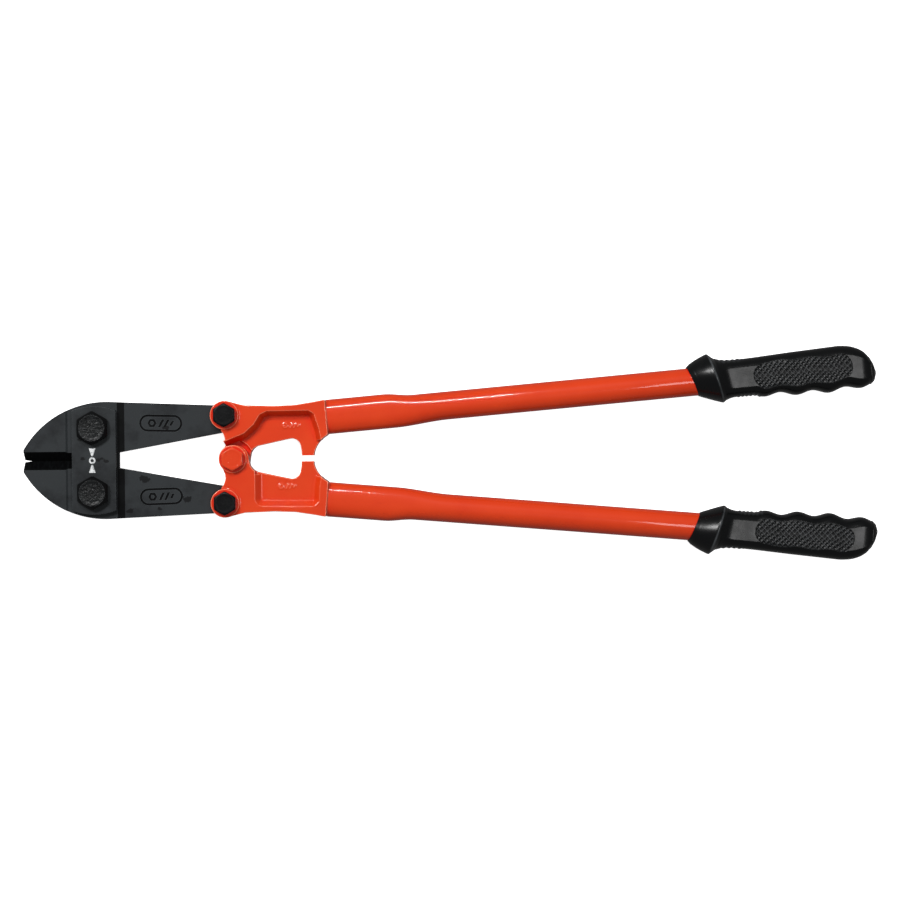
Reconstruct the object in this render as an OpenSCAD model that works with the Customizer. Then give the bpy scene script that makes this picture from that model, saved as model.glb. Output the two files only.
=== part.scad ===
// Bolt cutters with compound leverage: two jaws held by a pair of strap plates,
// and two forged handle heads that lap at a centre bolt and fork over the jaw tails.
// X runs along the tool towards the grips, Y runs across it, Z is up.
// The origin is on the centre bolt's axis, in the plane that the tool lies on.

/* [Linkage] */
// Distance between the two jaw bolts
jaw_bolt_gap = 45.8; // [40:0.1:60]
// Distance along X from the jaw bolts to the tail bolts
jaw_tail_len = 93; // [75:0.1:125]
// Distance between the two tail bolts
tail_bolt_gap = 62.2; // [52:0.1:80]
// How far the tail bolts sit ahead of the centre bolt
tail_bolt_lead = 5.6; // [3:0.1:9]
// Swing of each handle from closed to fully open, in degrees
open_swing = 45; // [20:1:50]

/* [Jaws] */
// Distance from the jaw bolts forward to the nose
blade_reach = 49.4; // [40:0.1:65]
// Height of the jaw's crown above the cutting line
crown_h = 41.5; // [36:0.1:55]
// Radius of the curved back of the jaw
crown_r = 67.5; // [60:0.5:90]
// Thickness of the jaw at the blade
blade_t = 17; // [16:0.1:22]
// Thickness of the jaw where the strap plates lie
seat_t = 15; // [12:0.1:16]
// Thickness of the jaw's tail
tail_t = 11; // [8:0.1:12]
// Width of the ground bevel on each side of a cutting edge
grind_w = 6.7; // [4:0.1:9]
// Gap between the closed cutting edges
blade_gap = 0.2; // [0.1:0.05:0.5]
// Radius of the jaw's round tail end
tail_end_r = 8.5; // [7.5:0.1:9.5]
// Width of the jaw's tail inside the tail bolt's axis
tail_inside_w = 12.2; // [9:0.1:12.5]

/* [Strap plates] */
// Thickness of each strap plate
plate_t = 4; // [3:0.1:6]
// Plate width ahead of the jaw bolts
plate_ahead = 14.7; // [12:0.1:20]
// Plate width behind the jaw bolts
plate_behind = 16.4; // [12:0.1:20]
// Plate height beyond each jaw bolt, at the crown of its arched end
plate_beyond = 15.3; // [12:0.1:18]
// Radius of the plate's arched ends
plate_end_r = 43; // [30:0.5:80]

/* [Bolts and nuts] */
// Jaw bolt diameter
jaw_bolt_d = 14; // [10:0.1:16]
// Jaw bolt head and nut across the flats
jaw_bolt_af = 21.2; // [19:0.1:26]
// Jaw bolt head height
jaw_head_h = 6; // [4:0.1:9]
// Tail bolt diameter
tail_bolt_d = 10; // [7:0.1:11]
// Tail bolt head and nut across the flats
tail_bolt_af = 15; // [13:0.1:17]
// Tail bolt head height
tail_head_h = 5; // [3:0.1:8]
// Centre bolt diameter
centre_bolt_d = 10; // [7:0.1:11]
// Centre bolt head and nut across the flats
centre_bolt_af = 14.8; // [13:0.1:17]
// Centre bolt head height
centre_head_h = 4.6; // [3:0.1:8]
// Height of the jaw nuts
nut_h = 6.5; // [4:0.1:9]
// Thickness of the washers under the tail nuts and the centre nut
washer_t = 1.5; // [1:0.1:2]

/* [Handle heads] */
// Thickness of the head's rim
head_t = 21; // [19:0.1:25]
// Thickness over the raised bosses round the bolts
boss_t = 23; // [21:0.1:27]
// Diameter of the ears at the tail bolts
ear_d = 20.4; // [19:0.1:24]
// Diameter of the eye at the centre bolt
eye_d = 19.8; // [19:0.1:24]
// Distance from the centre bolt to the seam with the tube
seam_x = 66.4; // [65:0.5:85]
// Distance from the tool's axis to the tube's axis at the seam
seam_y = 29.2; // [28:0.1:36]
// Height of the head's waist above the tool's axis
waist_y = 37.3; // [36:0.1:48]
// Thickness of the web on the lap side, above the middle plane
web_front = 2.5; // [1:0.1:5]
// Thickness of the web on the other side
web_back = 6.5; // [4:0.1:8]
// Width of the stop lug
lug_w = 9.1; // [6:0.1:12]
// Distance from the centre bolt to the stop lug
lug_x = 48.3; // [45:0.1:54]
// Gap between the stop lugs when the jaws are closed
lug_gap = 4; // [2:0.1:8]

/* [Tubes] */
// Tube diameter
tube_d = 20; // [18:0.1:24]
// Tube wall
tube_wall = 2; // [1.5:0.1:3]
// Tube length from the seam
tube_len = 376; // [300:1:480]
// Width of the flattened tube end at the seam
swage_w = 24.6; // [22:0.1:28]
// Height of the flattened tube end at the seam
swage_h = 18.6; // [16:0.1:20]
// Length of the flattened tube end
swage_len = 43; // [35:1:60]
// Length of the taper from flat to round
taper_len = 42; // [30:1:60]
// Angle of each handle to the tool's axis, in degrees
handle_angle = 4.87; // [3:0.01:8]

/* [Grips] */
// Grip length from its front rim
grip_len = 130; // [110:1:160]
// Grip thickness
grip_t = 26; // [24:0.1:32]
// Diameter of the flared hand guard
guard_d = 35.8; // [32:0.1:36]
// Slant of the hand guard, in degrees
guard_slant = 15; // [0:1:20]
// Depth of the finger hollows
finger_depth = 2.6; // [1:0.1:4]

/* [Hidden] */
$fn = 96;

// Clearances: a bolt in its hole, two faces that slide, and a press fit's overlap
run_gap = 0.05;
face_gap = 0.05;
press = 0.04;

// How far a cutting shape runs past the piece, and a small overlap inside a piece
over = 30;
pip = 0.4;

paint_red = [0.86, 0.20, 0.10];
jaw_grey = [0.24, 0.25, 0.26];
oxide_black = [0.13, 0.13, 0.14];
rubber_black = [0.09, 0.09, 0.10];

// Bolt centres of the upper half, in plan
jaw_pin = [-tail_bolt_lead - jaw_tail_len, jaw_bolt_gap / 2];
tail_pin = [-tail_bolt_lead, tail_bolt_gap / 2];

// Heights: the nuts' faces lie in the plane Z = 0
plate_in = seat_t / 2 + face_gap;
plate_out = plate_in + plate_t;
mid_z = plate_out + nut_h;
boss_z = boss_t / 2;
rim_z = head_t / 2;
fork_z = tail_t / 2 + 2 * face_gap;

// The linkage has five pivots in one loop. The jaws turn in proportion to the handles,
// so the upper jaw bolt's hole gets the play that the loop needs between its end stops.
link_len = norm(tail_pin - jaw_pin);
crank_len = norm(tail_pin);
link_angle = asin((tail_pin[1] - jaw_pin[1]) / link_len);
crank_angle = asin(tail_bolt_lead / crank_len);
function jaw_turn(swing) =
    link_angle - asin((crank_len * cos(crank_angle + swing) - jaw_pin[1]) / link_len);
function loop_error(part) =
    jaw_pin[1] + link_len * sin(link_angle - part * jaw_turn(open_swing))
    - crank_len * cos(crank_angle + part * open_swing);
link_play = 2 * max([for (step = [0:20]) abs(loop_error(step / 20))]) + 0.3;

// Plan of the jaw
// Crown, nose and heel of the blade; the seat for the plates; the slope to the thin tail
crown_x = jaw_pin[0] + 9;
nose_x = jaw_pin[0] - blade_reach;
nose_notch = 5;
nose_split = 0.7;
heel_x = jaw_pin[0] - 13;
seat_ahead = plate_ahead + 3.4;
seat_step = 1.4;
tail_slope = 5;
// Start of the tail's straight inner side, from the tail bolt
tail_inside = [1.5, tail_inside_w];

// Plan of the handle head
ear_r = ear_d / 2;
eye_r = eye_d / 2;
fork_r = norm(tail_inside) + 1.7;
lap_r = eye_r + 4;
window_x = eye_r + 1.5;
window_y = 14;
lug_y = lug_gap / 2;
seam_half = swage_w / 2;
seam_side = [-sin(handle_angle), cos(handle_angle)];
seam_mid = [seam_x, seam_y];
seam_top = seam_mid + seam_half * seam_side;
seam_low = seam_mid - seam_half * seam_side;
rim_w = 3.8;
tang_len = 40;
swage_wall_w = seam_half - tube_wall;
swage_wall_h = swage_h / 2 - tube_wall;

// Grip stations, measured along the tube from the seam
grip_x = tube_len + 14.5 - grip_len;
guard_x = grip_x + 16.3;
guard_y = 1.1;
neck_x = guard_x + 8;
finger_pitch = 23;
finger_x = neck_x + 13;
grip_end = grip_x + grip_len;
grip_r = grip_t / 2;

function arc(c, r, a0, a1, n = 24) =
    [for (i = [0:n]) c + r * [cos(a0 + (a1 - a0) * i / n), sin(a0 + (a1 - a0) * i / n)]];

module upper() translate([0, 0, mid_z]) children();
module lower() translate([0, 0, mid_z]) rotate([180, 0, 0]) children();

// Extrusion between two heights
module slab(z0, z1) translate([0, 0, z0]) linear_extrude(z1 - z0) children();

// A hexagon across its flats, flats facing X
module hexagon(af) rotate(30) circle(d = af / cos(30), $fn = 6);

// ---- Jaws ----

module jaw_plan() {
    crown_c = [crown_x, crown_h - crown_r];
    crown_a = 88;
    nose_a = acos((nose_x - crown_x) / crown_r);
    edge_y = blade_gap / 2;
    polygon(concat(
        arc(crown_c, crown_r, crown_a, nose_a),
        [
            [nose_x, nose_split],
            [nose_x + nose_notch, edge_y],
            [heel_x, edge_y],
            tail_pin - tail_inside,
            tail_pin + tail_end_r * [cos(45), -sin(45)],
            tail_pin + [0, tail_end_r - 1.6]
        ]
    ));
    translate(tail_pin) circle(r = tail_end_r);
}

module jaw_side() {
    s0 = jaw_pin[0] - seat_ahead;
    s1 = jaw_pin[0] + plate_behind + pip;
    half = [
        [nose_x - 1, blade_t / 2],
        [s0 - seat_step, blade_t / 2],
        [s0, seat_t / 2],
        [s1, seat_t / 2],
        [s1 + tail_slope, tail_t / 2],
        [over, tail_t / 2]
    ];
    polygon(concat(half, [for (i = [len(half) - 1:-1:0]) [half[i][0], -half[i][1]]]));
}

// Ground bevel that leaves the cutting edge in the middle plane
module grind() {
    land = 0.25;
    length = heel_x + 4 - nose_x;
    for (side = [0, 1])
        mirror([0, 0, side])
            translate([nose_x - 1, 0, 0])
                rotate([90, 0, 90])
                    linear_extrude(length)
                        polygon([[-1, land], [blade_gap / 2, land], [grind_w, blade_t / 2 + pip],
                            [grind_w, blade_t], [-1, blade_t]]);
}

module jaw(bore_r) {
    difference() {
        intersection() {
            slab(-blade_t / 2, blade_t / 2) jaw_plan();
            rotate([90, 0, 0])
                translate([0, 0, -crown_h - 1])
                    linear_extrude(crown_h + 2)
                        jaw_side();
        }
        grind();
        translate(jaw_pin) cylinder(r = bore_r, h = 2 * blade_t, center = true);
        translate(tail_pin) cylinder(d = tail_bolt_d + 2 * run_gap, h = 2 * tail_t, center = true);
    }
}

module jaw_upper() color(jaw_grey) upper() jaw(jaw_bolt_d / 2 + link_play);

module jaw_lower() color(jaw_grey) lower() jaw(jaw_bolt_d / 2 + run_gap);

// ---- Strap plates ----

module plate_plan() {
    reach = jaw_bolt_gap / 2 + plate_beyond;
    width = plate_ahead + plate_behind;
    middle = jaw_pin[0] + (plate_behind - plate_ahead) / 2;
    difference() {
        intersection() {
            translate([middle - width / 2, -reach]) square([width, 2 * reach]);
            translate([middle, reach - plate_end_r]) circle(r = plate_end_r);
            translate([middle, plate_end_r - reach]) circle(r = plate_end_r);
        }
        for (side = [-1, 1])
            translate([jaw_pin[0], side * jaw_pin[1]]) circle(d = jaw_bolt_d + 2 * run_gap);
    }
}

module strap_plate_front() color(jaw_grey) upper() slab(plate_in, plate_out) plate_plan();

module strap_plate_rear() color(jaw_grey) upper() slab(-plate_out, -plate_in) plate_plan();

// ---- Bolts, washers and nuts ----

// Chamfered hexagon from z = 0 up to h
module hex_block(af, h) {
    chamfer = 0.16 * h;
    intersection() {
        linear_extrude(h) hexagon(af);
        union() {
            cylinder(d = 1.3 * af, h = h - chamfer);
            translate([0, 0, h - chamfer])
                cylinder(d1 = 1.16 * af, d2 = 0.97 * af, h = chamfer);
        }
    }
}

// Bolt with its end in the plane Z = 0 and its head's seat at the given height
module bolt(d, af, seat, head_h) {
    cylinder(d = d, h = seat + pip);
    translate([0, 0, seat]) hex_block(af, head_h);
}

module washer(d, od, seat) {
    translate([0, 0, seat - washer_t]) difference() {
        cylinder(d = od, h = washer_t);
        translate([0, 0, -1]) cylinder(d = d + 2 * run_gap, h = washer_t + 2);
    }
}

// Nut under the given height, chamfered below
module nut(d, af, seat) {
    difference() {
        translate([0, 0, seat]) mirror([0, 0, 1]) hex_block(af, seat);
        translate([0, 0, -1]) cylinder(d = d - 2 * press, h = seat + 2);
    }
}

module jaw_bolt(side)
    color(oxide_black) translate([jaw_pin[0], side * jaw_pin[1], 0])
        bolt(jaw_bolt_d, jaw_bolt_af, mid_z + plate_out, jaw_head_h);

module jaw_nut(side)
    color(oxide_black) translate([jaw_pin[0], side * jaw_pin[1], 0])
        nut(jaw_bolt_d, jaw_bolt_af, mid_z - plate_out);

module tail_bolt(side)
    color(oxide_black) translate([tail_pin[0], side * tail_pin[1], 0])
        bolt(tail_bolt_d, tail_bolt_af, mid_z + boss_z, tail_head_h);

module tail_washer(side)
    color(oxide_black) translate([tail_pin[0], side * tail_pin[1], 0])
        washer(tail_bolt_d, ear_d - 2, mid_z - boss_z);

module tail_nut(side)
    color(oxide_black) translate([tail_pin[0], side * tail_pin[1], 0])
        nut(tail_bolt_d, tail_bolt_af, mid_z - boss_z - washer_t);

module centre_bolt() color(paint_red)
    bolt(centre_bolt_d, centre_bolt_af, mid_z + boss_z, centre_head_h);

module centre_washer() color(paint_red) washer(centre_bolt_d, eye_d - 2, mid_z - boss_z);

module centre_nut() color(paint_red)
    nut(centre_bolt_d, centre_bolt_af, mid_z - boss_z - washer_t);

// ---- Handle heads ----

// Plan of the upper head without its round bosses
module head_plan() {
    neck = [-tail_bolt_lead + 0.4, (eye_r + tail_pin[1] - ear_r) / 2 - 1.7];
    corner_r = 6.5;
    corner = [lug_x - 0.5 - corner_r, window_y - corner_r + 0.2];
    hollow_r = seam_low[1] + 1.8;
    hollow = [lug_x + lug_w + hollow_r - 0.5, lug_y - 2.3];
    polygon(concat(
        [seam_top, seam_top - [7.5, 1.4], [lug_x - 4, waist_y + 0.6], [lug_x - 19, waist_y]],
        [[tail_pin[0] + 14, waist_y + 0.7], tail_pin + [4.5, ear_r - 1], tail_pin],
        [neck + [-3, 6.6], neck + [-1.2, 4], neck, neck + [-0.4, -3.2], neck + [-1.6, -5.8]],
        [[0, 0], [window_x, 0], [window_x + 0.9, 4.7], [window_x + 2.8, 7.4], [window_x + 5.6, 9.1]],
        arc(corner, corner_r, 104, 5, 8),
        [[lug_x, lug_y + 3], [lug_x, lug_y], [lug_x + lug_w, lug_y]],
        arc(hollow, hollow_r, 167, 119, 8),
        [seam_low]
    ));
}

// Web on the lap side: everything inside the rim
module lap_side_plan() {
    polygon([
        [-tail_bolt_lead - over, 13.1], [-tail_bolt_lead + 1, 13.1], [8, 18.1],
        [15, 24.5], [19.2, waist_y - rim_w - 2.2], [24.2, waist_y - rim_w + 0.2],
        [seam_x - 12.6, waist_y - rim_w + 0.4], [seam_x - 8.8, waist_y - rim_w - 2],
        [seam_x - 5.2, 20.4], [seam_x - 3.4, 10], [seam_x + over, 8],
        [seam_x + over, -over], [-tail_bolt_lead - over, -over]
    ]);
}

// Sunk panel on the other side
module panel_plan() {
    polygon([
        [15.6, -over], [15.6, waist_y - rim_w - 4], [17.6, waist_y - rim_w - 1],
        [20.6, waist_y - rim_w], [seam_x - 9, waist_y - rim_w + 0.4],
        [seam_x - 5.4, waist_y - rim_w - 3.4], [seam_x - 5, 20],
        [seam_x - 3.4, 10], [seam_x - 2, -over]
    ]);
}

// Oval section of the flattened tube end
module oval(half_w, half_h) {
    translate([-(half_w - half_h), -half_h]) square([2 * (half_w - half_h), 2 * half_h]);
    for (side = [-1, 1]) translate([side * (half_w - half_h), 0]) circle(r = half_h);
}

// Turns a section drawn across the tube into a length along it
module along_tube(x0, length)
    translate([x0, 0, 0]) rotate([90, 0, 90]) linear_extrude(length) children();

module on_handle() translate(seam_mid) rotate(handle_angle) children();

module head() {
    bore = 2 * run_gap;
    difference() {
        union() {
            slab(-rim_z, rim_z) {
                head_plan();
                translate([window_x - eye_r, 0]) circle(r = eye_r);
            }
            translate([0, 0, -boss_z]) cylinder(r = eye_r, h = boss_z);
            translate([tail_pin[0], tail_pin[1], -boss_z]) cylinder(r = ear_r, h = boss_t);
            on_handle() along_tube(-2, tang_len + 2)
                oval(swage_wall_w + press, swage_wall_h + press);
        }
        difference() {
            slab(web_front, boss_z + 1) lap_side_plan();
            on_handle() translate([0, -over, -over]) cube([over, 2 * over, 2 * over]);
        }
        difference() {
            slab(-boss_z - 1, -web_back) panel_plan();
            on_handle() translate([0, -over, -over]) cube([over, 2 * over, 2 * over]);
        }
        translate([0, 0, -face_gap]) cylinder(r = lap_r, h = boss_z + 1);
        slab(-fork_z, fork_z) {
            translate(tail_pin) circle(r = fork_r);
            translate(tail_pin - [over, fork_r]) square([over, 2 * fork_r]);
        }
        translate([tail_pin[0], tail_pin[1], -over])
            cylinder(d = tail_bolt_d + bore, h = 2 * over);
        translate([0, 0, -over]) cylinder(d = centre_bolt_d + bore, h = 2 * over);
    }
}

module handle_head_upper() color(paint_red) upper() head();

module handle_head_lower() color(paint_red) lower() head();

// ---- Tubes ----

// Outline of an oval or round section, as one ring of points
function ring(half_w, half_h, n = 72) =
    [for (i = [0:n - 1]) let (a = 360 * (i + 0.5) / n)
        [half_h * cos(a) + sign(cos(a)) * (half_w - half_h), half_h * sin(a)]];

// Solid bar with the tube's flat end, taper and round length
module tube_bar(half_w, half_h, r, x0, x1) {
    skin = 0.01;
    round_x = swage_len + taper_len;
    along_tube(x0, swage_len - x0) polygon(ring(half_w, half_h));
    hull() {
        along_tube(swage_len - skin, skin) polygon(ring(half_w, half_h));
        along_tube(round_x, skin) polygon(ring(r, r));
    }
    along_tube(round_x, x1 - round_x) polygon(ring(r, r));
}

module tube() {
    tube_r = tube_d / 2;
    difference() {
        tube_bar(seam_half, swage_h / 2, tube_r, 0, tube_len);
        tube_bar(swage_wall_w, swage_wall_h, tube_r - tube_wall, -1, tube_len + 1);
    }
}

module handle_tube_upper() color(paint_red) upper() on_handle() tube();

module handle_tube_lower() color(paint_red) lower() on_handle() tube();

// ---- Grips ----

// One section of the grip, from its inner side to its outer side
module grip_slice(x, inner, outer, r) {
    along_tube(x, 0.1) {
        translate([r - inner, 0]) circle(r = r, $fn = 48);
        translate([outer - r, 0]) circle(r = r, $fn = 48);
    }
}

// A thin disc across the tube, slanted like the hand guard
module guard_disc(x, y, r, slant, t)
    translate([x, y, 0])
        rotate(slant)
            rotate([0, 90, 0])
                cylinder(r = r, h = t, center = true, $fn = 64);

module grip() {
    tube_r = tube_d / 2;
    guard_r = guard_d / 2;
    finger_r = finger_pitch * finger_pitch / (8 * finger_depth) + finger_depth / 2;
    difference() {
        union() {
            hull() {
                grip_slice(neck_x - 4, grip_r + 0.3, grip_r, grip_r);
                grip_slice(neck_x + 26, grip_r + 2.5, grip_r + 0.8, grip_r);
                grip_slice(neck_x + 73, grip_r + 4, grip_r + 2.6, grip_r);
                grip_slice(neck_x + 82, grip_r + 3.7, grip_r + 2.8, grip_r);
                grip_slice(grip_end - 10, grip_r + 2.2, grip_r + 0.6, grip_r - 0.6);
                grip_slice(grip_end - 4, grip_r + 1.8, grip_r - 4, grip_r - 4);
                grip_slice(grip_end - 0.1, grip_r - 1, grip_r - 9, grip_r - 9);
            }
            hull() {
                guard_disc(grip_x + 3.5, 0, tube_r + 0.8, guard_slant + 3, 0.2);
                guard_disc(guard_x, guard_y, guard_r, guard_slant, 1);
            }
            hull() {
                guard_disc(guard_x, guard_y, guard_r, guard_slant, 1);
                guard_disc(neck_x, 0, grip_r, guard_slant, 0.2);
            }
        }
        for (i = [0:3])
            translate([finger_x + i * finger_pitch, -finger_r - grip_r - 0.3 * (i + 1), -over])
                cylinder(r = finger_r, h = 2 * over);
        along_tube(grip_x - 10, tube_len - grip_x + 10) circle(r = tube_r - press);
    }
}

module grip_upper() color(rubber_black) upper() on_handle() grip();

module grip_lower() color(rubber_black) lower() on_handle() grip();

strap_plate_front();
strap_plate_rear();
jaw_bolt(1);  // jaw_bolt_upper
jaw_bolt(-1);  // jaw_bolt_lower
jaw_nut(1);  // jaw_nut_upper
jaw_nut(-1);  // jaw_nut_lower
jaw_upper();
jaw_lower();
handle_head_upper();
handle_head_lower();
handle_tube_upper();
handle_tube_lower();
grip_upper();
grip_lower();
tail_bolt(1);  // tail_bolt_upper
tail_bolt(-1);  // tail_bolt_lower
tail_washer(1);  // tail_washer_upper
tail_washer(-1);  // tail_washer_lower
tail_nut(1);  // tail_nut_upper
tail_nut(-1);  // tail_nut_lower
centre_bolt();
centre_washer();
centre_nut();
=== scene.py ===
"""Bolt cutters with forged jaws, enamelled handles and moulded grips.

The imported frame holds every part, pin and joint. This script gives each part its
finished surface: forged, ground, enamelled or moulded, with the relief and the wear
that the real tool has. Shapes are built in millimetres and turned to metres at the end.
"""

import logging
import math
from dataclasses import dataclass
from enum import Enum
from typing import Any, Callable, Iterable, Optional, Sequence, Union

import bmesh
import bpy
from mathutils import Matrix, Vector, noise


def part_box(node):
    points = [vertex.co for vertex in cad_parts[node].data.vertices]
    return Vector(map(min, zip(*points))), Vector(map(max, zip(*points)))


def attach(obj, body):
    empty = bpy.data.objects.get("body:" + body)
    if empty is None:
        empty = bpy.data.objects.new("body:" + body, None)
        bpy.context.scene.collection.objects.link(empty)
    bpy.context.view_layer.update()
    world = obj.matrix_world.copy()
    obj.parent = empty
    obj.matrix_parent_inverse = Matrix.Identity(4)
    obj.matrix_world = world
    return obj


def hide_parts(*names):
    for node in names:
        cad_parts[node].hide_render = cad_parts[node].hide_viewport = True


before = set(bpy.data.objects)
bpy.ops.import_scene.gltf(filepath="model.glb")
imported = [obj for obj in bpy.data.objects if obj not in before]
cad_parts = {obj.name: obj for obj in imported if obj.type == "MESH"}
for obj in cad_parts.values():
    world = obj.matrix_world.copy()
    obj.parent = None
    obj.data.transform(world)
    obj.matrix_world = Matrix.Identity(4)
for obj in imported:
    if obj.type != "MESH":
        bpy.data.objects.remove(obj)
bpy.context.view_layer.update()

LOG = logging.getLogger("bolt_cutters")
METRES_PER_MM = 0.001
MM_PER_METRE = 1000.0
FULL_TURN = 2 * math.pi

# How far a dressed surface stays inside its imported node, in millimetres
CLEAR = 0.02

Shape = bmesh.types.BMesh
Socket = bpy.types.NodeSocket
PlaceRule = Callable[[int, int], Vector]
Ring = Callable[[float], Vector]
Measure = Union[float, Callable[[float], float]]


# ---------------------------------------------------------------- small tools


class Body(Enum):
    """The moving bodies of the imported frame."""

    STRAP = "strap_link"
    UPPER_JAW = "upper_jaw"
    LOWER_JAW = "lower_jaw"
    UPPER_HANDLE = "upper_handle"
    LOWER_HANDLE = "lower_handle"


class Side(Enum):
    """The two halves of the tool, named for where they lie across it."""

    UPPER = "upper"
    LOWER = "lower"

    @property
    def sign(self) -> int:
        """Plus one above the tool's axis and minus one below it."""
        return 1 if self is Side.UPPER else -1

    @property
    def jaw(self) -> Body:
        """The jaw on this side."""
        return Body(f"{self.value}_jaw")

    @property
    def handle(self) -> Body:
        """The handle on this side."""
        return Body(f"{self.value}_handle")


class Slot(Enum):
    """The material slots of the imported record."""

    PLATE = "plate_steel"
    JAW = "jaw_steel"
    OXIDE = "black_oxide"
    ENAMEL = "red_enamel"
    RUBBER = "grip_rubber"


def smooth_step(start: float, end: float, value: float) -> float:
    """Rises smoothly from 0 at start to 1 at end.

    Args:
        start: The value where the rise begins.
        end: The value where the rise is over.
        value: The value to judge.

    Returns:
        A share from 0 to 1.
    """
    share = min(1.0, max(0.0, (value - start) / (end - start)))
    return share * share * (3 - 2 * share)


def swell(ends: Sequence[float], value: float) -> float:
    """Rises from 0 to 1 between the first two ends and falls back between the last two."""
    return smooth_step(*ends[:2], value) * (1 - smooth_step(*ends[2:], value))


def along(points: Sequence[tuple[float, float]], station: float) -> float:
    """Reads a profile that runs straight from point to point.

    Args:
        points: The profile's (station, size) pairs, in order.
        station: Where to read it.

    Returns:
        The size at that station.
    """
    if station <= points[0][0]:
        return points[0][1]
    for (x0, y0), (x1, y1) in zip(points, points[1:]):
        if station <= x1:
            return y0 + (y1 - y0) * (station - x0) / (x1 - x0)
    return points[-1][1]


def curve_along(points: Sequence[tuple[float, float]], station: float) -> float:
    """Reads a profile with rounded corners, as the mean of nearby stations.

    Args:
        points: The profile's (station, size) pairs, in order.
        station: Where to read it.

    Returns:
        The softened size at that station.
    """
    shifts = (-2.4, -1.2, 0.0, 1.2, 2.4)
    return sum(along(points, station + shift) for shift in shifts) / len(shifts)


def signed_power(value: float, power: float) -> float:
    """Raises a number's size to a power and keeps its sign."""
    return math.copysign(abs(value) ** power, value)


def box_mm(node: str) -> tuple[Vector, Vector]:
    """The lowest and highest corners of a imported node, in millimetres."""
    low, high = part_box(node)
    return low * MM_PER_METRE, high * MM_PER_METRE


# The upper jaw bolt's X and the height of the tool's middle plane, in millimetres
JAW_PIN_X = sum(corner.x for corner in box_mm("jaw_bolt_upper")) / 2
MID_Z = (box_mm("strap_plate_front")[1].z + box_mm("strap_plate_rear")[0].z) / 2


def turned(side: Side) -> Matrix:
    """Moves a shape drawn about the middle plane to its half of the tool.

    Args:
        side: The half that the shape belongs to.

    Returns:
        A lift for the upper half, and a half turn about X with a lift for the lower.
    """
    lift = Matrix.Translation((0, 0, MID_Z))
    if side is Side.UPPER:
        return lift
    return lift @ Matrix.Rotation(math.pi, 4, "X")


def wrap_grid(rows: int, columns: int, place: PlaceRule) -> Shape:
    """Bends a grid round into a closed skin.

    Args:
        rows: Steps along the skin.
        columns: Steps round it.
        place: Gives the point for a row and a column.

    Returns:
        The skin, with its seam and poles closed and its faces outwards.
    """
    shape = bmesh.new()
    made = bmesh.ops.create_grid(shape, x_segments=columns, y_segments=rows, size=1.0)
    for vert in made["verts"]:
        column = round((vert.co.x + 1) / 2 * columns)
        row = round((vert.co.y + 1) / 2 * rows)
        vert.co = place(row, column % columns)
    bmesh.ops.remove_doubles(shape, verts=shape.verts, dist=1e-4)
    bmesh.ops.dissolve_degenerate(shape, edges=shape.edges, dist=1e-5)
    bmesh.ops.recalc_face_normals(shape, faces=shape.faces)
    return shape


def prism(outline: Sequence[tuple[float, float]], low: float, high: float) -> Shape:
    """Extrudes a flat outline between two heights.

    Args:
        outline: The outline's corners, in order.
        low: The height of its underside.
        high: The height of its top.

    Returns:
        A closed prism.
    """
    shape = bmesh.new()
    ring = [shape.verts.new((x, y, low)) for x, y in outline]
    floor = shape.faces.new(ring)
    made = bmesh.ops.extrude_face_region(shape, geom=[floor])
    lifted = [item for item in made["geom"] if isinstance(item, bmesh.types.BMVert)]
    bmesh.ops.translate(shape, verts=lifted, vec=(0, 0, high - low))
    bmesh.ops.recalc_face_normals(shape, faces=shape.faces)
    return shape


def stadium(half_long: float, half_wide: float, steps: int = 32) -> list[tuple[float, float]]:
    """The outline of a slot with round ends, lying along X.

    Args:
        half_long: Half of its whole length.
        half_wide: Half of its width, which is the radius of its ends.
        steps: Points round the whole outline.

    Returns:
        The outline's points.
    """
    points = []
    for step in range(steps):
        turn = FULL_TURN * (step + 0.5) / steps
        shift = math.copysign(half_long - half_wide, math.cos(turn))
        points.append((half_wide * math.cos(turn) + shift, half_wide * math.sin(turn)))
    return points


def merge_in(shape: Shape, other: Shape, place: Optional[Matrix] = None) -> None:
    """Adds another shape to this one as a further shell, and frees it.

    Args:
        shape: The shape that grows.
        other: The shape that is added.
        place: Where the added shape goes.
    """
    carrier = bpy.data.meshes.new("carrier")
    if place is not None:
        bmesh.ops.transform(other, matrix=place, verts=other.verts)
    other.to_mesh(carrier)
    other.free()
    shape.from_mesh(carrier)
    bpy.data.meshes.remove(carrier)


def cad_shape(node: str) -> Shape:
    """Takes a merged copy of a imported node, in millimetres.

    Args:
        node: The node's name.

    Returns:
        Its surface with loose triangles joined and flat faces whole.
    """
    shape = bmesh.new()
    shape.from_mesh(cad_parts[node].data)
    bmesh.ops.scale(shape, vec=(MM_PER_METRE,) * 3, verts=shape.verts)
    bmesh.ops.remove_doubles(shape, verts=shape.verts, dist=0.002)
    bmesh.ops.dissolve_limit(
        shape,
        angle_limit=math.radians(0.4),
        use_dissolve_boundaries=False,
        verts=shape.verts,
        edges=shape.edges,
    )
    return shape


def with_modifier(shape: Shape, kind: str, settings: dict[str, Any]) -> Shape:
    """Runs one modifier over a shape and takes the result.

    Args:
        shape: The shape, which is freed.
        kind: The modifier's type.
        settings: The modifier's values.

    Returns:
        The changed shape.
    """
    mesh = bpy.data.meshes.new("blank")
    shape.to_mesh(mesh)
    shape.free()
    blank = bpy.data.objects.new("blank", mesh)
    bpy.context.scene.collection.objects.link(blank)
    modifier = blank.modifiers.new(kind.title(), kind)
    for key, value in settings.items():
        setattr(modifier, key, value)
    depsgraph = bpy.context.evaluated_depsgraph_get()
    result = bmesh.new()
    result.from_mesh(blank.evaluated_get(depsgraph).to_mesh())
    bpy.data.objects.remove(blank)
    bpy.data.meshes.remove(mesh)
    return result


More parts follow.
